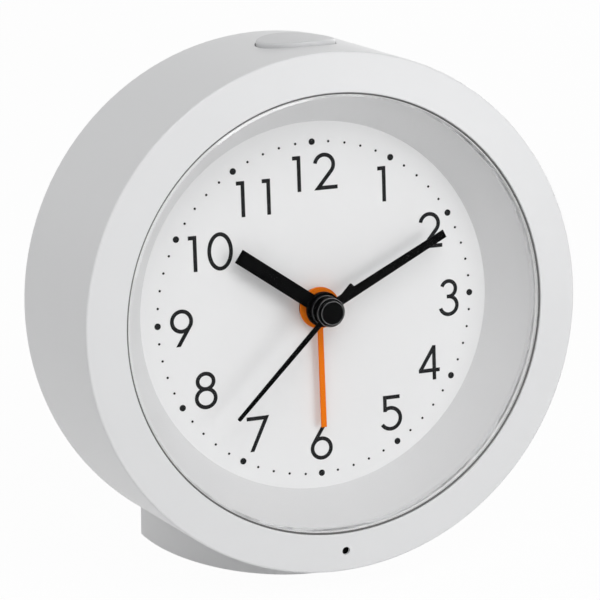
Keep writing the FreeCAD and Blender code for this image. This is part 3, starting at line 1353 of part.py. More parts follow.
def make_going_train():
    """Intermediate wheel, seconds wheel, third wheel and centre wheel with its long tube."""
    thickness = dim.wheel_thickness
    intermediate = case_body("intermediate_wheel")
    stud_bore = dim.stud_radius + dim.shaft_gap
    back, front = layer(LAST_LAYER) - thickness, layer(5)
    add_rods(intermediate, [intermediate_place], stud_bore + dim.hub_wall, back, front)
    wheel_teeth = dim.intermediate_wheel_teeth
    add_gear(intermediate, LAST_LAYER, intermediate_place, wheel_teeth, rotor_module, WHEEL_FORM, ZERO)
    add_gear(intermediate, 5, intermediate_place, dim.intermediate_pinion_teeth, second_module, PINION_FORM,
             mesh(ZERO, dim.second_wheel_teeth, dim.intermediate_pinion_teeth, LEFTWARD))
    cut_rods(intermediate, [intermediate_place], stud_bore, back, front)

    second = case_body("second_wheel")
    arbor_top = dim.second_hub_front - dim.tube_inset
    add_rods(second, [CENTRE], dim.second_arbor_radius, rear_pivot_w + dim.pivot_play, arbor_top)
    add_gear(second, 5, CENTRE, dim.second_wheel_teeth, second_module, WHEEL_FORM, ZERO)
    add_gear(second, 4, CENTRE, dim.second_pinion_teeth, third_module, PINION_FORM,
             mesh(ZERO, dim.third_wheel_teeth, dim.second_pinion_teeth, LEFTWARD))

    third = case_body("third_wheel")
    ends = rear_pivot_w + dim.pivot_play, front_pivot_w - dim.pivot_play
    add_rods(third, [third_place], dim.thin_arbor_radius, *ends)
    add_gear(third, 4, third_place, dim.third_wheel_teeth, third_module, WHEEL_FORM, ZERO)
    add_gear(third, 3, third_place, dim.third_pinion_teeth, centre_module, PINION_FORM,
             mesh(ZERO, dim.centre_wheel_teeth, dim.third_pinion_teeth, RIGHTWARD))

    centre = case_body("centre_wheel")
    tube_back = layer(3) - thickness
    tube_front = dim.minute_hub_front - dim.tube_inset
    add_rods(centre, [CENTRE], cannon_radius, tube_back, tube_front)
    add_gear(centre, 3, CENTRE, dim.centre_wheel_teeth, centre_module, WHEEL_FORM, ZERO)
    add_gear(centre, 2, CENTRE, dim.cannon_teeth, motion_module, PINION_FORM, ZERO)
    cut_rods(centre, [CENTRE], cannon_bore, tube_back, tube_front)


def make_motion_work():
    """Motion wheel, hour wheel and the time setting stem with its pinion and knob."""
    thickness = dim.wheel_thickness
    direction = dim.motion_direction
    stud_bore = dim.stud_radius + dim.shaft_gap
    motion = case_body("motion_wheel")
    back, front = layer(2) - thickness, layer(1)
    motion_gap = mesh(ZERO, dim.cannon_teeth, dim.motion_wheel_teeth, direction)
    add_rods(motion, [motion_place], stud_bore + dim.hub_wall, back, front)
    add_gear(motion, 2, motion_place, dim.motion_wheel_teeth, motion_module, WHEEL_FORM, motion_gap)
    add_gear(motion, 1, motion_place, dim.motion_pinion_teeth, hour_module, PINION_FORM, ZERO)
    cut_rods(motion, [motion_place], stud_bore, back, front)

    hour = case_body("hour_wheel")
    tube_back = layer(1) - thickness
    tube_front = dim.hour_hub_front - dim.tube_inset
    add_rods(hour, [CENTRE], hour_tube_radius, tube_back, tube_front)
    add_gear(hour, 1, CENTRE, dim.hour_wheel_teeth, hour_module, WHEEL_FORM,
             mesh(ZERO, dim.motion_pinion_teeth, dim.hour_wheel_teeth, direction - HALF_TURN))
    cut_rods(hour, [CENTRE], hour_bore, tube_back, tube_front)

    stem = case_body("time_set_stem")
    add_rods(stem, [time_stem_place], dim.stem_radius, stem_end_w, layer(2))
    add_gear(stem, 2, time_stem_place, dim.time_pinion_teeth, motion_module, PINION_FORM,
             mesh(motion_gap, dim.motion_wheel_teeth, dim.time_pinion_teeth, direction))
    make_knob("time_set_knob", time_stem_place, dim.time_knob_radius)


def make_alarm_work():
    """Alarm wheel with its tube, idler, and the alarm setting stem with its pinion and knob."""
    thickness = dim.wheel_thickness
    direction = dim.alarm_direction
    stud_bore = dim.stud_radius + dim.shaft_gap
    wheel = case_body("alarm_wheel")
    tube_back = layer(0) - thickness
    tube_front = dim.alarm_hub_front - dim.tube_inset
    add_rods(wheel, [CENTRE], alarm_tube_radius, tube_back, tube_front)
    add_gear(wheel, 0, CENTRE, dim.alarm_wheel_teeth, alarm_module, ALARM_FORM, ZERO)
    cut_rods(wheel, [CENTRE], alarm_bore, tube_back, tube_front)

    idler = case_body("alarm_idler")
    idler_gap = mesh(ZERO, dim.alarm_wheel_teeth, dim.alarm_idler_teeth, direction)
    add_gear(idler, 0, alarm_idler_place, dim.alarm_idler_teeth, alarm_module, ALARM_FORM, idler_gap)
    cut_rods(idler, [alarm_idler_place], stud_bore, tube_back, layer(0))

    stem = case_body("alarm_set_stem")
    add_rods(stem, [alarm_stem_place], dim.stem_radius, stem_end_w, layer(0))
    add_gear(stem, 0, alarm_stem_place, dim.alarm_pinion_teeth, alarm_module, ALARM_FORM,
             mesh(idler_gap, dim.alarm_idler_teeth, dim.alarm_pinion_teeth, direction))
    make_knob("alarm_set_knob", alarm_stem_place, dim.alarm_knob_radius)


def make_knob(label, place, radius):
    """Knob with grip notches, pressed on a stem from behind."""
    body = case_body(label)
    x, y = place
    add_rods(body, [place], radius, knob_back_w, knob_front_w)
    round_edges(body, flat_edges_at(knob_back_w), dim.knob_round)
    notch = new_sketch(body, x=x, y=y, lift=knob_front_w)
    draw_circle(notch, radius, ZERO, dim.grip_radius)
    cut = extrude(body, "Pocket", notch, dim.knob_height)
    repeat_round(body, cut, notch, dim.grip_count)
    cut_rods(body, [place], dim.stem_radius + dim.press_gap, stem_end_w, knob_front_w)


# ---------------------------------------------------------------- hands

def corner_edge_outside(radius):
    """Chooses edges along the w axis that lie further than this from it."""
    def choose(edge):
        box = edge.BoundBox
        upright = box.XLength < NEAR and box.YLength < NEAR
        return upright and math.hypot(box.XMax, box.YMax) > radius.number
    return choose


def make_hand(label, angle, outline, hub_radius, hub_front, hub_thickness, bore, corner_round=None):
    """A straight hand that points up at zero, turned clockwise by the angle, on a round hub."""
    body = case_body(label)
    blade_front = hub_front - dim.hand_inset
    sketch = new_sketch(body, lift=blade_front - dim.hand_thickness, turn=-angle)
    draw_polygon(sketch, outline)
    extrude(body, "Pad", sketch, dim.hand_thickness)
    if corner_round:
        round_edges(body, corner_edge_outside(hub_radius), corner_round)
    round_edges(body, flat_edges_at(blade_front), dim.hand_edge, "Chamfer")
    add_rods(body, [CENTRE], hub_radius, hub_front - hub_thickness, hub_front)
    cut_rods(body, [CENTRE], bore + dim.press_gap, hub_front - hub_thickness, hub_front)


def blade(half_width, root_half_width, length, tail=ZERO):
    """Outline of a hand, straight from root to tip."""
    return [(-root_half_width, -tail), (root_half_width, -tail), (half_width, length), (-half_width, length)]


def make_hands():
    hour_step = FULL_TURN / dim.hour_count
    minute_step = hour_step / dim.minutes_per_hour_mark
    thickness = dim.hub_thickness
    wide = dim.hour_hand_half_width
    make_hand("hour_hand", hour_step * dim.shown_hour, blade(wide, wide, dim.hour_hand_length),
              dim.hour_hub_radius, dim.hour_hub_front, thickness, hour_tube_radius)
    shape = blade(dim.minute_hand_half_width, dim.minute_hand_root_half_width, dim.minute_hand_length)
    make_hand("minute_hand", minute_step * dim.shown_minute, shape,
              dim.minute_hub_radius, dim.minute_hub_front, thickness, cannon_radius)
    thin = dim.alarm_hand_half_width
    make_hand("alarm_hand", hour_step * dim.shown_alarm, blade(thin, thin, dim.alarm_hand_length),
              dim.alarm_hub_radius, dim.alarm_hub_front, thickness, alarm_tube_radius)
    tip, root = dim.second_hand_half_width, dim.second_hand_root_half_width
    tail, tail_half = dim.second_tail_length, dim.second_tail_half_width
    shape = [
        (-tail_half, -tail),
        (tail_half, -tail),
        (root, ZERO),
        (tip, dim.second_hand_length),
        (-tip, dim.second_hand_length),
        (-root, ZERO),
    ]
    make_hand("second_hand", minute_step * dim.shown_second, shape,
              dim.second_hub_radius, dim.second_hub_front, thickness, dim.second_arbor_radius,
              corner_round=dim.blade_round)

    cap = case_body("second_hand_cap")
    cap_front = dim.second_hub_front + dim.cap_height
    add_rods(cap, [CENTRE], dim.cap_radius, dim.second_hub_front, cap_front)
    round_edges(cap, flat_edges_at(cap_front), dim.cap_round)


# ---------------------------------------------------------------- build, check and write

make_front_case()
make_lens()
make_reflector_ring()
make_dial()
make_carrier()
make_foot()
make_snooze()
make_sensor_and_lights()
make_rear_cover()
make_battery()
make_buzzer_and_switch()
make_movement_case()
make_motor()
make_electronics()
make_going_train()
make_motion_work()
make_alarm_work()
make_hands()
doc.recompute()

for item in doc.Objects:
    broken = [state for state in item.State if state in ("Invalid", "Error")]
    if broken:
        raise RuntimeError(f"{item.Label} is {broken}")
for body in NODES:
    if body.Shape.isNull() or not body.Shape.isValid():
        raise RuntimeError(f"{body.Label} has no valid shape")

os.makedirs("parts", exist_ok=True)
for body in NODES:
    body.Shape.exportStep(f"parts/{body.Label}.step")
print(len(NODES), "nodes written")
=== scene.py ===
# %% [markdown]
# # A round table alarm clock
#
# This lesson dresses a small bedside clock: a satin white case that leans back on a half-oval
# foot, a numbered dial behind a clear lens, dark hands and one orange hand for the alarm.
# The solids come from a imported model. Each of them keeps its place, and most only get a finish.
# What a solid cannot show, such as printed numerals, is modelled here as a piece of its own.

# %% Load the clock's solids
import math

import bpy
from mathutils import Matrix, Vector


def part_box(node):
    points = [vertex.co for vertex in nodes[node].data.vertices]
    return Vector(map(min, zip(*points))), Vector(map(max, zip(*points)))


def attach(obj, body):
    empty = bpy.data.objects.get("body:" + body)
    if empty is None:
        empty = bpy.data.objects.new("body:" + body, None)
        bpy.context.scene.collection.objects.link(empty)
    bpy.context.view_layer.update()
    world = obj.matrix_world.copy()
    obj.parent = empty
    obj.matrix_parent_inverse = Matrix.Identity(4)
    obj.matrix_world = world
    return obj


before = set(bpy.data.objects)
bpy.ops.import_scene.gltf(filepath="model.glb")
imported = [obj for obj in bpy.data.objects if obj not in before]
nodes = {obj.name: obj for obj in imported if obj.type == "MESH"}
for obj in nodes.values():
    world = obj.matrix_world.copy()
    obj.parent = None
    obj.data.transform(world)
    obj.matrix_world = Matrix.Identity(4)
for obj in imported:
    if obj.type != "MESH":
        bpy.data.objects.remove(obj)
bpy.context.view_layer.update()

MM = 0.001

# %% [markdown]
# ## The clock's own frame
#
# The case leans back, so the dial is not upright. It is easier to think in the dial's frame:
# x to the right, y up along the dial, w out of the dial. One matrix takes that frame to the
# table's frame. Its origin is the middle of the dial disc, which can be read from the solid.

# %% Frame of the dial
LEAN = math.radians(4.74)
STAND_UP = math.pi / 2 - LEAN
DIAL_THICKNESS = 0.4 * MM
DIAL_OUT = Vector((0, -math.cos(LEAN), math.sin(LEAN)))
dial_low, dial_high = (Vector(corner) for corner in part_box("dial_plate"))
dial_centre = (dial_low + dial_high) / 2 + DIAL_OUT * DIAL_THICKNESS / 2
clock = Matrix.Translation(dial_centre) @ Matrix.Rotation(STAND_UP, 4, "X")
print("dial centre in mm", [round(v / MM, 3) for v in dial_centre])


def place_in_clock(piece):
    """Move a piece from the clock's frame, drawn in millimetres, to its place on the table."""
    piece.data.transform(clock @ Matrix.Scale(MM, 4))
    piece.matrix_world = Matrix.Identity(4)
    return piece


# %% [markdown]
# ## Camera
#
# The clock is seen from its left and a little from above with a long lens, from a good 0.6 m
# away. A long lens keeps the ring of the face nearly a true ellipse. The place and the turn were
# worked out beforehand, so they are plain numbers, in metres and radians. An operator acts on
# all that is selected, so before each new object everything is deselected.

# %% Camera
CAMERA_PLACE = (-0.231727, -0.565629, 0.228619)
CAMERA_TURN = (1.300911, -0.00002, -0.390683)
FOCAL_LENGTH = 169.537
FILM_WIDTH = 36


def deselect_all():
    """Leave no object selected."""
    bpy.ops.object.select_all(action="DESELECT")


deselect_all()
bpy.ops.object.camera_add(location=CAMERA_PLACE, rotation=CAMERA_TURN)
camera = bpy.context.object
camera.name = "camera"
camera.data.lens = FOCAL_LENGTH
camera.data.sensor_width = FILM_WIDTH
camera.data.clip_start = 10 * MM
bpy.context.scene.camera = camera
print("camera at", tuple(round(v, 3) for v in camera.location))

# %% [markdown]
# ## Shader maths as plain Python
#
# A finish is a small network of nodes. To read it like arithmetic, `Flow` wraps a socket and
# turns + - * into Math nodes. Every other node comes from `Network.node`, which takes the
# node's type, its settings and the values or links of its sockets.

# %% Flow, a number on its way


class Flow:
    """A value or a colour that flows out of a shader node."""

    def __init__(self, network, socket):
        self.network = network
        self.socket = socket

    def math(self, operation, first, second):
        settings = {"operation": operation}
        return self.network.node("ShaderNodeMath", settings, {0: first, 1: second}).out(0)

    def __add__(self, other):
        return self.math("ADD", self, other)

    def __radd__(self, other):
        return self.math("ADD", other, self)

    def __sub__(self, other):
        return self.math("SUBTRACT", self, other)

    def __rsub__(self, other):
        return self.math("SUBTRACT", other, self)

    def __mul__(self, other):
        return self.math("MULTIPLY", self, other)

    def __rmul__(self, other):
        return self.math("MULTIPLY", other, self)

    def above(self, limit):
        """1 where the number is above the limit, else 0."""
        return self.math("GREATER_THAN", self, limit)


class Made:
    """A node that has been made, with its outputs as flows."""

    def __init__(self, network, node):
        self.network = network
        self.node = node

    def out(self, key):
        return Flow(self.network, self.node.outputs[key])


print("numbers can be added, subtracted and multiplied")

# %% [markdown]
# A network is the node tree of a material or of the world. The floor and the world share one
# trick: the camera, gloss and clear pieces see a white glow, while the lamps' light meets the
# real colour. Light Path tells the two apart.

# %% Network, a tree of nodes


class Network:
    """A tree of shader nodes, of a material or of the world."""

    def __init__(self, tree):
        self.tree = tree

    def node(self, kind, settings=None, inputs=None):
        """Add a node: first its settings, then the values or links of its sockets."""
        node = self.tree.nodes.new(kind)
        for key, value in (settings or {}).items():
            setattr(node, key, value)
        for key, value in (inputs or {}).items():
            self.feed(node.inputs[key], value)
        return Made(self, node)

    def feed(self, socket, value):
        """Link a flow to a socket, or set the socket to a constant."""
        if isinstance(value, Flow):
            self.tree.links.new(value.socket, socket)
        else:
            socket.default_value = value

    def lit_or_white(self, lit, white, share, output):
        """Show this share of a white glow to the camera and in gloss, and the rest as it is lit."""
        path = self.node("ShaderNodeLightPath")
        camera_or_gloss = path.out("Is Camera Ray") + path.out("Is Glossy Ray")
        seen = camera_or_gloss + path.out("Is Transmission Ray")
        once = self.node("ShaderNodeMath", {"operation": "MINIMUM"}, {0: seen, 1: 1.0}).out(0)
        mixed = self.node("ShaderNodeMixShader", None, {0: once * share, 1: lit, 2: white})
        self.feed(self.tree.nodes[output].inputs[0], mixed.out(0))


print("any node can be made")

# %% [markdown]
# A finish is one material. Patterns read Object coordinates, so they stay on a piece that moves.
# A Mix node has a set of sockets for each kind of value, and those of colours have to be asked
# for by number.

# %% Finish, one material
MIX_FACTOR, MIX_FIRST, MIX_SECOND, MIX_RESULT = 0, 6, 7, 2


class Finish(Network):
    """One material, built node by node on its Principled shader."""

    def __init__(self, name, constants=None):
        self.material = bpy.data.materials.new(name)
        self.material.use_nodes = True
        super().__init__(self.material.node_tree)
        self.shader = self.tree.nodes["Principled BSDF"]
        for key, value in (constants or {}).items():
            self.set(key, value)

    def set(self, key, value):
        self.feed(self.shader.inputs[key], value)

    def object_place(self):
        return self.node("ShaderNodeTexCoord").out("Object")

    def noise(self, scale, detail=2.0, roughness=0.5, place=None):
        return self.node("ShaderNodeTexNoise", None, {
            "Vector": place or self.object_place(), "Scale": scale, "Detail": detail,
            "Roughness": roughness}).out("Fac")

    def blend(self, factor, first, second):
        """A colour between the first and the second."""
        sockets = {MIX_FACTOR: factor, MIX_FIRST: first, MIX_SECOND: second}
        return self.node("ShaderNodeMix", {"data_type": "RGBA"}, sockets).out(MIX_RESULT)

    def bump(self, height, distance):
        sockets = {"Height": height, "Distance": distance}
        self.set("Normal", self.node("ShaderNodeBump", None, sockets).out("Normal"))


def grey(value, tint=0.0):
    """A neutral colour, a touch bluer when tint is positive."""
    return (value - tint / 2, value, value + tint, 1.0)


def shade(colour, share):
    """The same colour, darker by this share."""
    return tuple(channel * (1 - share) for channel in colour[:3]) + (1.0,)


print("shader helpers ready")

# %% [markdown]
# ## Moulded plastic
#
# The case is moulded in white plastic with a satin, very finely grained skin. A real moulding is
# never one flat colour: it is a hair darker where the flow was slow, and its gloss wanders.
# Two noises do that, a broad one for tone and gloss and a fine one for the grain in the bump.
# An image could do it too, but it has to be unwrapped and shows its pixels from close by.

# %% Plastic finishes
PLASTIC_IOR = 1.46
DRIFT_SCALE = 45.0
GLOSS_DRIFT = 0.06
GLOSS_GRAIN = 0.03
GLOSS_MIDDLE = 0.04
GRAIN_DEPTH = 0.01 * MM


def moulded(name, colour, roughness, grain, grain_scale=9000, drift=0.03, mirror=0.5):
    """Plastic with a broad drift of tone and gloss and a fine grain."""
    finish = Finish(name, {"IOR": PLASTIC_IOR, "Specular IOR Level": mirror})
    broad = finish.noise(DRIFT_SCALE, detail=3.0)
    fine = finish.noise(grain_scale, roughness=0.6)
    finish.set("Base Color", finish.blend(broad, shade(colour, drift), colour))
    finish.set("Roughness", roughness - GLOSS_MIDDLE + broad * GLOSS_DRIFT + fine * GLOSS_GRAIN)
    finish.bump(fine, GRAIN_DEPTH * grain)
    return finish


case_white = moulded("satin_white_case", grey(0.80, 0.008), roughness=0.36, grain=0.35)
back_white = moulded("grained_white_back", grey(0.76, 0.006), 0.5, grain=1.2, grain_scale=4000)
# The foot is the same plastic as the case, but its white is lighter: painted light that lifts the
# foot, which the lamps leave darker.
foot_white_painted_light = moulded("satin_foot_painted_light", grey(0.88, 0.006), roughness=0.4, grain=0.4)
# The snooze button is the same plastic as the case, but its grey is darker: painted shade on its
# top, which the lamps light more than the case's side.
button_grey_painted_shade = moulded("satin_button_painted_shade", grey(0.69, 0.008), roughness=0.42, grain=0.3)
knob_grey = moulded("grained_knob", grey(0.60, 0.004), 0.45, grain=0.8, grain_scale=5000)
inner_white = moulded("natural_moulding", grey(0.66), 0.55, grain=0.8, grain_scale=5000)
black_plastic = moulded("black_moulding", grey(0.035, 0.001), 0.5, 1.0, 5000, drift=0.3)
wheel_plastic = moulded("acetal_wheels", (0.84, 0.82, 0.74, 1.0), roughness=0.4, grain=0.3)
reflector_white = moulded("reflector_white", grey(0.75, 0.006), roughness=0.32, grain=0.2)
rubber = moulded("grey_rubber", grey(0.10, 0.002), 0.8, grain=2.0, grain_scale=3000, drift=0.25)
# The dark grey of the ring in the lens slit is partly the rubber's own colour and partly painted
# shade for the deep slit.
slit_shade_ring_finish = moulded("dark_ring_painted_slit_shade", grey(0.18), 0.7, 1.5, 4000, drift=0.3, mirror=0.2)
print("plastic finishes ready")

# %% [markdown]
# Paint, ink and lacquer are thin skins, made the same way. The hands are a deep black that
# mirrors little, apart from the polished edges of their hubs.

# %% Paint, ink and dial finishes
dial_white = moulded("matt_dial", grey(0.86, 0.004), 0.62, 0.5, 7000, drift=0.012)
ink = moulded("printed_ink", grey(0.012, 0.001), 0.55, 0.5, 12000, drift=0.3, mirror=0.15)
hand_black = moulded("black_hands", grey(0.0025, 0.0002), 0.3, 0.3, drift=0.3, mirror=0.02)
hand_edge = moulded("polished_black_edge", grey(0.02, 0.002), 0.1, 0.1, drift=0.3, mirror=1.0)
hand_orange = moulded("orange_alarm_hand", (0.90, 0.20, 0.009, 1.0), 0.4, 0.4, drift=0.05,
                      mirror=0.03)
sign_grey = moulded("printed_sign", grey(0.22, 0.002), 0.55, 0.6, drift=0.2, mirror=0.3)
dark_window = moulded("dark_window", grey(0.002), 0.2, 0.1, drift=0.2, mirror=0.01)
print("paint finishes ready")

# %% [markdown]
# ## Metals, boards and the rest of the inside
#
# Screws and contacts are plated steel with fine scratches, the coil is wound copper wire, and the
# boards are green with copper tracks under the lacquer. Few people will open the clock, but each
# part inside still gets its real stuff. Scratches, tracks and turns of wire are too fine to be
# worth modelling, so patterns stand for them: a stretched noise, bricks and a wave.

# %% Metal finishes
SCRATCH_SCALE = 1500
SCRATCH_STRETCH = (1, 12, 12)
SCRATCH_GLOSS = 0.15
SCRATCH_DEPTH = 0.004 * MM
PATCH_SCALE = 120.0
PATCH_SHADE = 0.2


def plated(name, colour, roughness):
    """Metal whose gloss is broken by fine scratches along one direction."""
    finish = Finish(name, {"Metallic": 1.0})
    stretched = finish.node("ShaderNodeMapping", None, {
        "Vector": finish.object_place(), "Scale": SCRATCH_STRETCH}).out(0)
    scratches = finish.noise(SCRATCH_SCALE, roughness=0.7, place=stretched)
    patches = finish.noise(PATCH_SCALE)
    finish.set("Base Color", finish.blend(patches, shade(colour, PATCH_SHADE), colour))
    finish.set("Roughness", roughness + scratches * SCRATCH_GLOSS)
    finish.bump(scratches, SCRATCH_DEPTH)
    return finish


screw_steel = plated("zinc_plated_steel", (0.62, 0.63, 0.66, 1.0), roughness=0.28)
contact_nickel = plated("nickel_contacts", (0.72, 0.70, 0.66, 1.0), roughness=0.2)
soft_iron = plated("soft_iron", (0.42, 0.43, 0.45, 1.0), roughness=0.4)
crystal_can = plated("crystal_can", (0.78, 0.78, 0.80, 1.0), roughness=0.15)
sounder_brass = plated("sounder_brass", (0.75, 0.56, 0.25, 1.0), roughness=0.3)
print("metal finishes ready")

# %% Boards and coil
board_green = Finish("circuit_board_green", {"Coat Weight": 0.4})
tracks = board_green.node("ShaderNodeTexBrick", {"offset": 0.35}, {
    "Vector": board_green.object_place(), "Scale": 700.0, "Mortar Size": 0.012,
    "Color1": (0.01, 0.12, 0.05, 1), "Color2": (0.014, 0.16, 0.07, 1),
    "Mortar": (0.06, 0.26, 0.10, 1)})
board_green.set("Base Color", tracks.out("Color"))
board_green.set("Roughness", 0.35 + board_green.noise(900.0) * 0.15)
board_green.bump(tracks.out("Fac"), 0.02 * MM)

COPPER_GROOVE, COPPER_CREST = (0.25, 0.07, 0.02, 1), (0.72, 0.30, 0.12, 1)
coil_copper = Finish("wound_copper", {"Metallic": 0.9})
turns = coil_copper.node("ShaderNodeTexWave", {"bands_direction": "X"}, {
    "Vector": coil_copper.object_place(), "Scale": 1500.0, "Distortion": 0.3}).out("Fac")
coil_copper.set("Base Color", coil_copper.blend(turns, COPPER_GROOVE, COPPER_CREST))
coil_copper.set("Roughness", 0.45 - turns * 0.2)
coil_copper.bump(turns, 0.04 * MM)
print("boards and coil ready")

# %% [markdown]
# The cell lies along x. Its sleeve is plain: dark, with a copper coloured band on the end with
# the nub. The band could be a piece of its own, but a limit on x in one finish does as well. The
# two small lamps and the sensor are cast in clear, slightly yellow resin. They sit deep in the
# case, so a cloudy colour under a coat of gloss does for them, and no glass is needed.

# %% Cell and resin
BAND_START = 18 * MM
SLEEVE_DARK, SLEEVE_COPPER = (0.03, 0.06, 0.10, 1), (0.45, 0.24, 0.10, 1)
cell_sleeve = Finish("plain_cell_sleeve", {"Coat Weight": 0.5})
along = cell_sleeve.node("ShaderNodeSeparateXYZ", None, {
    "Vector": cell_sleeve.object_place()}).out("X")
band = along.above(BAND_START)
wrinkle = cell_sleeve.noise(400.0, detail=3.0)
cell_sleeve.set("Base Color", cell_sleeve.blend(band, SLEEVE_DARK, SLEEVE_COPPER))
cell_sleeve.set("Roughness", 0.25 + wrinkle * 0.1)
cell_sleeve.set("Metallic", band * 0.8)
cell_sleeve.bump(wrinkle, 0.02 * MM)

RESIN_DARK, RESIN_LIGHT = (0.75, 0.70, 0.45, 1), (0.86, 0.84, 0.66, 1)
clear_yellow = Finish("clear_yellowish_resin", {"Coat Weight": 0.6})
cloud = clear_yellow.noise(800.0)
clear_yellow.set("Base Color", clear_yellow.blend(cloud, RESIN_DARK, RESIN_LIGHT))
clear_yellow.set("Roughness", 0.15 + cloud * 0.1)
clear_yellow.bump(cloud, 0.01 * MM)
print("cell and resin ready")

# %% [markdown]
# ## Clear lens
#
# The lens is clear acrylic. A glass shader would bend and darken what lies behind it and needs
# many samples. Here the lens only mirrors, and lets the rest through: its alpha grows with the
# angle of the glance, slowly on the flat and fast on the polished bevel round it. The outermost
# rim was sawn and is frosted, so it is a milky white that hides the dark slit behind it. Both
# are found by the distance from the clock's axis.

# %% Lens finish
BEVEL_START = 47.6 * MM
RIM_START = 47.98 * MM
FLAT_GLARE = 0.12
BEVEL_MIRROR = 0.08
BEVEL_GLARE = 0.45
RIM_MILK = 0.85


def distance_from_axis(finish):
    """How far a point is from the clock's axis, in metres."""
    in_clock = finish.node("ShaderNodeMapping", {"vector_type": "TEXTURE"}, {
        "Vector": finish.object_place(),
        "Location": tuple(dial_centre),
        "Rotation": (STAND_UP, 0, 0),
    }).out(0)
    flat = finish.node("ShaderNodeVectorMath", {"operation": "MULTIPLY"}, {
        0: in_clock, 1: (1, 1, 0)}).out(0)
    return finish.node("ShaderNodeVectorMath", {"operation": "LENGTH"}, {0: flat}).out("Value")


clear_lens = Finish("clear_lens", {"Base Color": (1, 1, 1, 1)})
from_axis = distance_from_axis(clear_lens)
bevel = from_axis.above(BEVEL_START)
rim = from_axis.above(RIM_START)
glance = clear_lens.node("ShaderNodeLayerWeight", None, {"Blend": 0.5}).out("Facing")
on_flat = glance * glance * FLAT_GLARE
on_bevel = bevel * (BEVEL_MIRROR + glance * BEVEL_GLARE)
clear_lens.set("Alpha", on_flat + on_bevel + rim * RIM_MILK)
clear_lens.set("Metallic", 1 - rim)
clear_lens.set("Roughness", 0.03 + clear_lens.noise(60.0) * 0.02)
clear_lens.material.surface_render_method = "BLENDED"
print("lens finish ready")

# %% [markdown]
# ## Which solid wears what
#
# One table pairs every solid with its finish, so nothing is left plain.

# %% Dress the solids
wardrobe = {
    case_white: ["front_case"],
    back_white: ["rear_cover", "battery_door"],
    foot_white_painted_light: ["foot"],
    button_grey_painted_shade: ["snooze_button"],
    knob_grey: ["time_set_knob", "alarm_set_knob"],
    clear_lens: ["lens"],
    reflector_white: ["reflector_ring"],
    dial_white: ["dial_plate"],
    ink: ["hour_dots", "minute_dots"],
    hand_black: ["hour_hand", "minute_hand", "second_hand", "second_hand_cap"],
    hand_orange: ["alarm_hand"],
    inner_white: ["dial_carrier", "alarm_switch_body", "tact_plunger", "time_set_stem",
                  "alarm_set_stem"],
    black_plastic: ["movement_front", "movement_back", "control_chip", "tact_switch",
                    "alarm_switch_slider"],
    wheel_plastic: ["third_wheel", "intermediate_wheel", "motion_wheel", "alarm_idler",
                    "centre_wheel", "hour_wheel", "alarm_wheel", "second_wheel", "rotor"],
    screw_steel: ["carrier_screws", "cover_screws", "foot_screws", "movement_screws"],
    rubber: ["foot_pads"],
    board_green: ["circuit_board", "sensor_board", "light_boards", "snooze_board"],
    clear_yellow: ["dial_lights", "light_sensor"],
    crystal_can: ["quartz_crystal"],
    soft_iron: ["stator", "coil_core"],
    coil_copper: ["stepper_coil"],
    contact_nickel: ["battery_contact_positive", "battery_contact_negative", "battery_spring",
                     "alarm_contact_spring"],
    cell_sleeve: ["battery_cell"],
    sounder_brass: ["buzzer_disc"],
}
for finish, names in wardrobe.items():
    for name in names:
        for place in nodes[name].material_slots:
            place.material = finish.material
bare = set(nodes) - {name for names in wardrobe.values() for name in names}
print("dressed", len(nodes) - len(bare), "solids, bare:", sorted(bare))

# %% [markdown]
# ## Rubber ring round the lens, dark for the shade in the slit
#
# A thin ring of dark grey rubber sits in the slit between the lens and the case, a little below the
# face. Its dark grey is partly the rubber's own colour and partly painted shade: it stands for the
# shadow in the deep, narrow slit and makes the fine dark line round the glass. A torus has a round
# section, and this one is a rounded rectangle, so the ring is turned: its section starts as a
# plane, whose corners are bevelled and whose face is dropped, and spin carries the outline round
# the clock's axis. Spin leaves a seam, which is merged, and may turn the faces inside out, so their
# normals are recalculated.

# %% A helper that turns a section into a ring
TURN_STEPS = 240
SAME_PLACE = 0.001
RING_SHARP_ANGLE = math.radians(40)


def edit_all():
    """Open the new piece in edit mode with all of it selected."""
    bpy.ops.object.mode_set(mode="EDIT")
    bpy.ops.mesh.select_all(action="SELECT")


def turned_ring(name, inner, outer, low, high, round_off):
    """A ring about the clock's axis with a rounded rectangular section, in millimetres."""
    deselect_all()
    bpy.ops.mesh.primitive_plane_add(size=1, rotation=(math.pi / 2, 0, 0))
    piece = bpy.context.object
    piece.name = name
    bpy.ops.object.transform_apply(rotation=True)
    middle = Vector(((inner + outer) / 2, 0, (low + high) / 2))
    section = Matrix.Diagonal((outer - inner, 1, high - low, 1))
    piece.data.transform(Matrix.Translation(middle) @ section)
    edit_all()
    bpy.ops.mesh.bevel(offset=round_off, segments=3, affect="VERTICES")
    bpy.ops.mesh.select_all(action="SELECT")
    bpy.ops.mesh.delete(type="ONLY_FACE")
    bpy.ops.mesh.select_all(action="SELECT")
    bpy.ops.mesh.spin(steps=TURN_STEPS, angle=2 * math.pi, center=(0, 0, 0), axis=(0, 0, 1))
    bpy.ops.mesh.select_all(action="SELECT")
    bpy.ops.mesh.remove_doubles(threshold=SAME_PLACE)
    bpy.ops.mesh.normals_make_consistent(inside=False)
    bpy.ops.object.mode_set(mode="OBJECT")
    bpy.ops.object.shade_smooth_by_angle(angle=RING_SHARP_ANGLE)
    return place_in_clock(piece)


lens_ring = turned_ring("lens_ring", inner=48.2, outer=48.52, low=12.3, high=12.78, round_off=0.06)
lens_ring.data.materials.append(slit_shade_ring_finish.material)
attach(lens_ring, "case")
print("ring round the lens:", len(lens_ring.data.polygons), "faces")

# %% [markdown]
# The hubs of the minute hand and the second hand, and the cap over them, have polished edges,
# which catch a thin line of light. Each edge is a bead, turned like the ring and half sunk in its
# hub, so the solid itself needs no cut. The table gives the body that each bead rides on, its
# inner and outer radius, and how low and how high it lies over the dial.

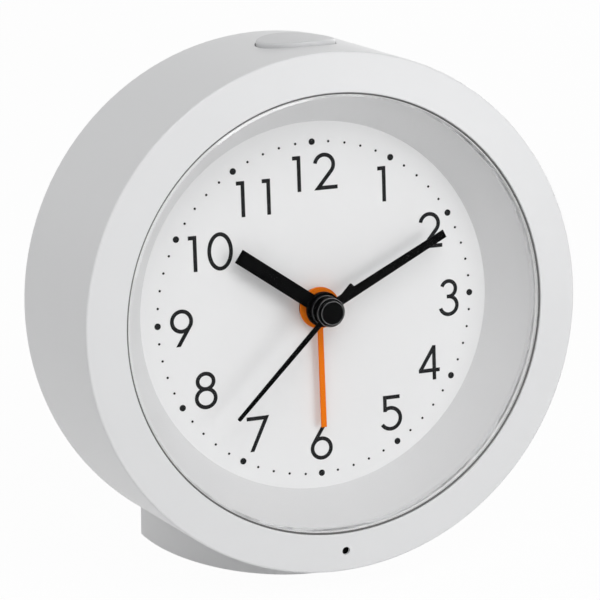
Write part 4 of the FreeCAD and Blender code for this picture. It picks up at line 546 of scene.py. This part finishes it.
# %% Beads on the hubs
BEAD_ROUND_OFF = 0.08
BEADS = {
    "minute_hub_bead": ("minute", 3.12, 3.38, 5.36, 5.56),
    "second_hub_bead": ("second", 2.97, 3.23, 8.06, 8.26),
    "cap_bead": ("second", 2.45, 2.68, 8.94, 9.13),
}
for name, (body, inner, outer, low, high) in BEADS.items():
    bead = turned_ring(name, inner, outer, low, high, BEAD_ROUND_OFF)
    bead.data.materials.append(hand_edge.material)
    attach(bead, body)
print("beads on the hubs:", ", ".join(BEADS))

# %% [markdown]
# ## Window of the light sensor
#
# Low on the face is a small round hole for the sensor that dims the dial's light. In it sits a
# dark, slightly domed window, a little below the face. A flat disc would look like a dot of
# paint. So it starts as a short cylinder, whose front is inset twice and raised a little each
# time.

# %% Sensor window
WINDOW_PLACE = (0, -52.6, 10.85)
WINDOW_RADIUS, WINDOW_DEPTH, WINDOW_SIDES = 0.86, 2.1, 40
DOME_STEPS = ((0.2, 0.1), (0.3, 0.05))
FACING_OUT = 0.9
WINDOW_SHARP_ANGLE = math.radians(50)
deselect_all()
bpy.ops.mesh.primitive_cylinder_add(vertices=WINDOW_SIDES, radius=WINDOW_RADIUS,
                                    depth=WINDOW_DEPTH, location=WINDOW_PLACE)
window = bpy.context.object
window.name = "sensor_window"
bpy.ops.object.transform_apply(location=True)
bpy.ops.object.mode_set(mode="EDIT")
bpy.ops.mesh.select_all(action="DESELECT")
bpy.ops.object.mode_set(mode="OBJECT")
for face in window.data.polygons:
    face.select = face.normal.z > FACING_OUT
bpy.ops.object.mode_set(mode="EDIT")
for width, rise in DOME_STEPS:
    bpy.ops.mesh.inset(thickness=width)
    bpy.ops.transform.translate(value=(0, 0, rise))
bpy.ops.object.mode_set(mode="OBJECT")
bpy.ops.object.shade_smooth_by_angle(angle=WINDOW_SHARP_ANGLE)
place_in_clock(window)
window.data.materials.append(dark_window.material)
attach(window, "case")
print("sensor window:", len(window.data.polygons), "faces")

# %% [markdown]
# ## Numerals
#
# The hours are printed on the dial in a light, round hand. A font would be quicker, but it brings
# its own shapes. Here each digit is drawn as with a pen of one width: a few arcs and straight
# strokes. A stroke is a curve with a round bevel. Turned into a mesh it is a bent rod, which is
# pressed flat to the thickness of ink. Slanted strokes run past the line they stand on and are
# cut off there.

# %% The pen and its arcs
PEN_WIDTH = 0.88
DIGIT_HEIGHT = 7.9
INK_HEIGHT = 0.06
MIDDLE = DIGIT_HEIGHT / 2
LOW_BAR = PEN_WIDTH / 2
HIGH_BAR = DIGIT_HEIGHT - PEN_WIDTH / 2
ARC_STEP = 7.5


def arc(x, y, across, up, start, end):
    """Points of an oval about (x, y) from one angle to the other, in degrees."""
    count = round(abs(end - start) / ARC_STEP)
    angles = [math.radians(start + (end - start) * i / count) for i in range(count + 1)]
    return [(x + across * math.cos(a), y + up * math.sin(a)) for a in angles]


print("an arc of a quarter turn has", len(arc(0, 0, 1, 1, 0, 90)), "points")

# %% [markdown]
# The table holds each digit's strokes as points in millimetres, with the digit's middle at x = 0
# and its foot at y = 0.

# %% Strokes of the digits
RING = 2.22
RING_RISE = 2.35
STROKES = {
    "0": [arc(0, MIDDLE, 2.52, 3.78, 0, 360)],
    "1": [[(0, 0), (0, DIGIT_HEIGHT)], [(-1.5, HIGH_BAR), (0, HIGH_BAR)]],
    "2": [arc(-0.2, 5.53, 2.18, 2.18, 170, -41) + [(-2.65, -0.6)],
          [(-2.0, LOW_BAR), (2.85, LOW_BAR)]],
    "3": [arc(0.06, 6.0, 1.71, 1.76, 160, -90) + [(-0.4, 4.24)],
          arc(0, 2.21, 2.06, 2.03, 90, -165)],
    "4": [[(1.3, 0), (1.3, DIGIT_HEIGHT)], [(-2.5, 2.2), (2.65, 2.2)],
          [(-2.2, 2.15), (1.3, 7.6)]],
    "5": [[(-2.0, HIGH_BAR), (2.1, HIGH_BAR)], [(-1.55, DIGIT_HEIGHT), (-1.55, 4.2)],
          arc(-0.25, 2.61, 2.4, 2.4, 128, -148)],
    "6": [arc(0, RING_RISE, RING, RING, 0, 360), [(-1.86, 3.55), (1.3, 8.5)]],
    "7": [[(-2.67, HIGH_BAR), (2.2, HIGH_BAR)], [(2.47, 8.5), (-1.87, -0.6)]],
    "8": [arc(0, 5.98, 1.86, 1.72, 0, 360), arc(0, 2.24, 2.2, 2.04, 0, 360)],
    "9": [arc(0, DIGIT_HEIGHT - RING_RISE, RING, RING, 0, 360), [(1.86, 4.35), (-1.3, -0.6)]],
}
CUT_AT_FOOT = "279"
CUT_AT_TOP = "67"
print("strokes are known for the digits", "".join(STROKES))

# %% Draw with the pen


def draw_strokes(strokes, width):
    """Strokes of a round pen as bent rods, in millimetres."""
    deselect_all()
    bpy.ops.object.add(type="CURVE")
    piece = bpy.context.object
    curve = piece.data
    curve.dimensions = "3D"
    for stroke in strokes:
        closed = math.dist(stroke[0], stroke[-1]) < SAME_PLACE
        points = stroke[:-1] if closed else stroke
        spline = curve.splines.new("POLY")
        spline.points.add(len(points) - 1)
        for point, (x, y) in zip(spline.points, points):
            point.co = (x, y, 0, 1)
        spline.use_cyclic_u = closed
    curve.bevel_depth = width / 2
    curve.use_fill_caps = True
    bpy.ops.object.convert(target="MESH")
    return piece


def cut_off(place, away):
    """Cut off what lies past a plane of the new piece and close the cut."""
    edit_all()
    bpy.ops.mesh.bisect(plane_co=place, plane_no=away, clear_outer=True, use_fill=True)
    bpy.ops.object.mode_set(mode="OBJECT")


def draw_digit(digit):
    """One digit as a flat mesh, in millimetres."""
    piece = draw_strokes(STROKES[digit], PEN_WIDTH)
    if digit in CUT_AT_FOOT:
        cut_off((0, 0, 0), (0, -1, 0))
    if digit in CUT_AT_TOP:
        cut_off((0, DIGIT_HEIGHT, 0), (0, 1, 0))
    piece.data.transform(Matrix.Diagonal((1, 1, INK_HEIGHT / PEN_WIDTH, 1)))
    return piece


shapes = {digit: draw_digit(digit) for digit in STROKES}
print("digits drawn:", {digit: len(shape.data.polygons) for digit, shape in shapes.items()})

# %% [markdown]
# The numerals stand upright just inside the ring of dots. Each hour gives the foot line of its
# number, and the middle of each of its digits, measured from the hands' axis. Each digit was
# drawn once and is copied to its places, and then all copies are joined into one piece.

# %% Numerals on the dial
NUMERALS = {
    1: (21.9, {16.9: "1"}),
    2: (10.4, {27.9: "2"}),
    3: (-5.3, {32.0: "3"}),
    4: (-19.7, {26.8: "4"}),
    5: (-30.0, {17.3: "5"}),
    6: (-34.5, {0.15: "6"}),
    7: (-31.0, {-14.8: "7"}),
    8: (-19.85, {-26.7: "8"}),
    9: (-5.6, {-31.7: "9"}),
    10: (10.5, {-28.0: "1", -22.2: "0"}),
    11: (21.45, {-16.5: "1", -10.5: "1"}),
    12: (25.8, {-3.25: "1", 2.95: "2"}),
}
printed = []
for foot_line, digits in NUMERALS.values():
    for across, digit in digits.items():
        deselect_all()
        shapes[digit].select_set(True)
        bpy.context.view_layer.objects.active = shapes[digit]
        bpy.ops.object.duplicate()
        copy = bpy.context.object
        copy.data.transform(Matrix.Translation((across, foot_line, INK_HEIGHT / 2)))
        printed.append(copy)
deselect_all()
for shape in shapes.values():
    shape.select_set(True)
bpy.ops.object.delete()
for copy in printed:
    copy.select_set(True)
bpy.context.view_layer.objects.active = printed[0]
bpy.ops.object.join()
numerals = place_in_clock(bpy.context.object)
numerals.name = "numerals"
numerals.data.materials.append(ink.material)
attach(numerals, "case")
print("numerals:", len(numerals.data.polygons), "faces")

# %% [markdown]
# ## Raised marks on the back
#
# Plain signs are moulded on the back: a curved arrow over each knob, a bar and a ring beside the
# alarm switch, and on the door the outline of a cell with its plus and minus end. A print alone
# would do for the eye, but raised marks can be felt and catch the light. They are drawn with the
# same pen as the numerals, a little narrower, and stand proud under a grey print.

# %% A helper for signs
BACK_W = -36.0
MARK_WIDTH = 0.6
MARK_RISE = 0.22


def raised_sign(name, strokes, body):
    """A sign on the back, pressed flat and half sunk in the plastic."""
    piece = draw_strokes(strokes, MARK_WIDTH)
    piece.data.transform(Matrix.Diagonal((1, 1, 2 * MARK_RISE / MARK_WIDTH, 1)))
    piece.data.transform(Matrix.Translation((0, 0, BACK_W)))
    piece.name = name
    place_in_clock(piece)
    piece.data.materials.append(sign_grey.material)
    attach(piece, body)


print("signs stand", MARK_RISE, "mm proud")

# %% Arrows over the knobs
BOW_START, BOW_END = 40, 140
HEAD_LENGTH = 1.7
HEAD_SPREAD = 35


def arrow_head(tip, heading):
    """The two short strokes of an arrow's head."""
    sides = [math.radians(heading + 180 + turn) for turn in (-HEAD_SPREAD, HEAD_SPREAD)]
    ends = [(tip[0] + HEAD_LENGTH * math.cos(a), tip[1] + HEAD_LENGTH * math.sin(a)) for a in sides]
    return [ends[0], tip, ends[1]]


def knob_arrow(knob, reach):
    """A curved arrow over a knob, whose place is read from its solid."""
    corners = [Vector(corner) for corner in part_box(knob)]
    middle = clock.inverted() @ (sum(corners, Vector()) / 2) / MM
    bow = arc(middle.x, middle.y, reach, reach, BOW_START, BOW_END)
    return [bow, arrow_head(bow[-1], BOW_END + 90)]


raised_sign("time_arrow", knob_arrow("time_set_knob", reach=7.6), "case")
raised_sign("alarm_arrow", knob_arrow("alarm_set_knob", reach=7.2), "case")
print("arrows over the knobs are ready")

# %% Signs of the alarm switch and the cell
SWITCH_SIGN_X = 20.5
BAR_TOP, BAR_FOOT = -4.2, -6.8
OFF_RING_Y, OFF_RING_RADIUS = -10.5, 1.3
on_bar = [(SWITCH_SIGN_X, BAR_TOP), (SWITCH_SIGN_X, BAR_FOOT)]
off_ring = arc(SWITCH_SIGN_X, OFF_RING_Y, OFF_RING_RADIUS, OFF_RING_RADIUS, 0, 360)
raised_sign("switch_signs", [on_bar, off_ring], "case")

CELL_Y = -28.5
CELL_END, CELL_SIDE = 8.5, 2.6
NUB_LENGTH, NUB_SIDE = 1.0, 0.9
SIGN_NEAR, SIGN_FAR, PLUS_SIDE = 2.0, 4.2, 1.1
plus_box, minus_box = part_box("battery_contact_positive"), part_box("battery_contact_negative")
TO_PLUS = 1 if plus_box[0][0] > minus_box[0][0] else -1


def cell_line(*places):
    """A stroke through places along and across the cell, whose plus end lies ahead."""
    return [(along * TO_PLUS, CELL_Y + across) for along, across in places]


plus_middle = CELL_END - (SIGN_NEAR + SIGN_FAR) / 2
cell_sign = [
    cell_line((-CELL_END, -CELL_SIDE), (CELL_END, -CELL_SIDE), (CELL_END, CELL_SIDE),
              (-CELL_END, CELL_SIDE), (-CELL_END, -CELL_SIDE)),
    cell_line((CELL_END, -NUB_SIDE), (CELL_END + NUB_LENGTH, -NUB_SIDE),
              (CELL_END + NUB_LENGTH, NUB_SIDE), (CELL_END, NUB_SIDE)),
    cell_line((CELL_END - SIGN_FAR, 0), (CELL_END - SIGN_NEAR, 0)),
    cell_line((plus_middle, -PLUS_SIDE), (plus_middle, PLUS_SIDE)),
    cell_line((SIGN_NEAR - CELL_END, 0), (SIGN_FAR - CELL_END, 0)),
]
raised_sign("cell_sign", cell_sign, "door")
print("signs on the back are ready")

# %% [markdown]
# ## Floor
#
# A pale floor stands for a plain studio table. Stronger lamps would make it white, but would
# bleach the white clock too. So what the camera and gloss see of it is nearly all a white glow,
# and the small rest is the lit floor, which keeps the clock's shadow.

# %% Floor
FLOOR_SIZE = 8
FLOOR_GLOW = 0.965
WHITE = (1, 1, 1, 1)
deselect_all()
bpy.ops.mesh.primitive_plane_add(size=FLOOR_SIZE)
floor = bpy.context.object
floor.name = "floor"
pale_floor = Finish("pale_floor", {"Roughness": 0.9})
speck = pale_floor.noise(30.0)
pale_floor.set("Base Color", pale_floor.blend(speck, grey(0.84), grey(0.86)))
glow = pale_floor.node("ShaderNodeEmission", None, {"Color": WHITE, "Strength": 1.0})
lit_floor = Made(pale_floor, pale_floor.shader)
pale_floor.lit_or_white(lit_floor.out(0), glow.out(0), FLOOR_GLOW, "Material Output")
floor.data.materials.append(pale_floor.material)
print("floor ready")

# %% [markdown]
# ## Lamps and surround
#
# Five large soft lamps stand 1.3 m from the clock. Small lamps would draw hard shadows and sharp
# glints on the satin plastic. The key lamp at the right and the lamp high in front leave the
# upper right of the sloping ring round the dial in shade, the fill lamp at the upper left softens
# that, and two lamps behind light the case's side and back. The table gives how far each lamp is
# turned from the front to the right and raised, in degrees, its size in metres and its power in
# watts. The surround is dim for the object and white for the camera.

# %% Lamps
LAMP_DISTANCE = 1.3
AIM = Vector((0, 0, 0.06))
LAMPS = {
    "key_softbox": (34, 11, 0.6, 3.8),
    "top_softbox": (2, 50, 0.8, 4.2),
    "fill_softbox": (-31, 36, 1.2, 3.9),
    "left_softbox": (-130, 26, 0.9, 1.7),
    "rear_softbox": (128, 8, 1.0, 5.0),
}
for name, (turned, raised, size, power) in LAMPS.items():
    deselect_all()
    across, up = math.radians(turned), math.radians(raised)
    away = Vector((math.sin(across) * math.cos(up), -math.cos(across) * math.cos(up), math.sin(up)))
    towards_clock = (-away).to_track_quat("-Z", "Y").to_euler()
    bpy.ops.object.light_add(type="AREA", location=AIM + away * LAMP_DISTANCE,
                             rotation=towards_clock)
    lamp = bpy.context.object
    lamp.name = name
    lamp.data.size = size
    lamp.data.energy = power
print("lamps ready:", ", ".join(LAMPS))

# %% Surround
SURROUND = 0.27
world = bpy.data.worlds.new("white_surround")
bpy.context.scene.world = world
world.use_nodes = True
sky = Network(world.node_tree)
dim_white = sky.node("ShaderNodeBackground", None, {"Color": WHITE, "Strength": SURROUND})
full_white = sky.node("ShaderNodeBackground", None, {"Color": WHITE, "Strength": 1.0})
sky.lit_or_white(dim_white.out(0), full_white.out(0), 1.0, "World Output")
bpy.context.scene.view_settings.view_transform = "Standard"
print("surround ready")
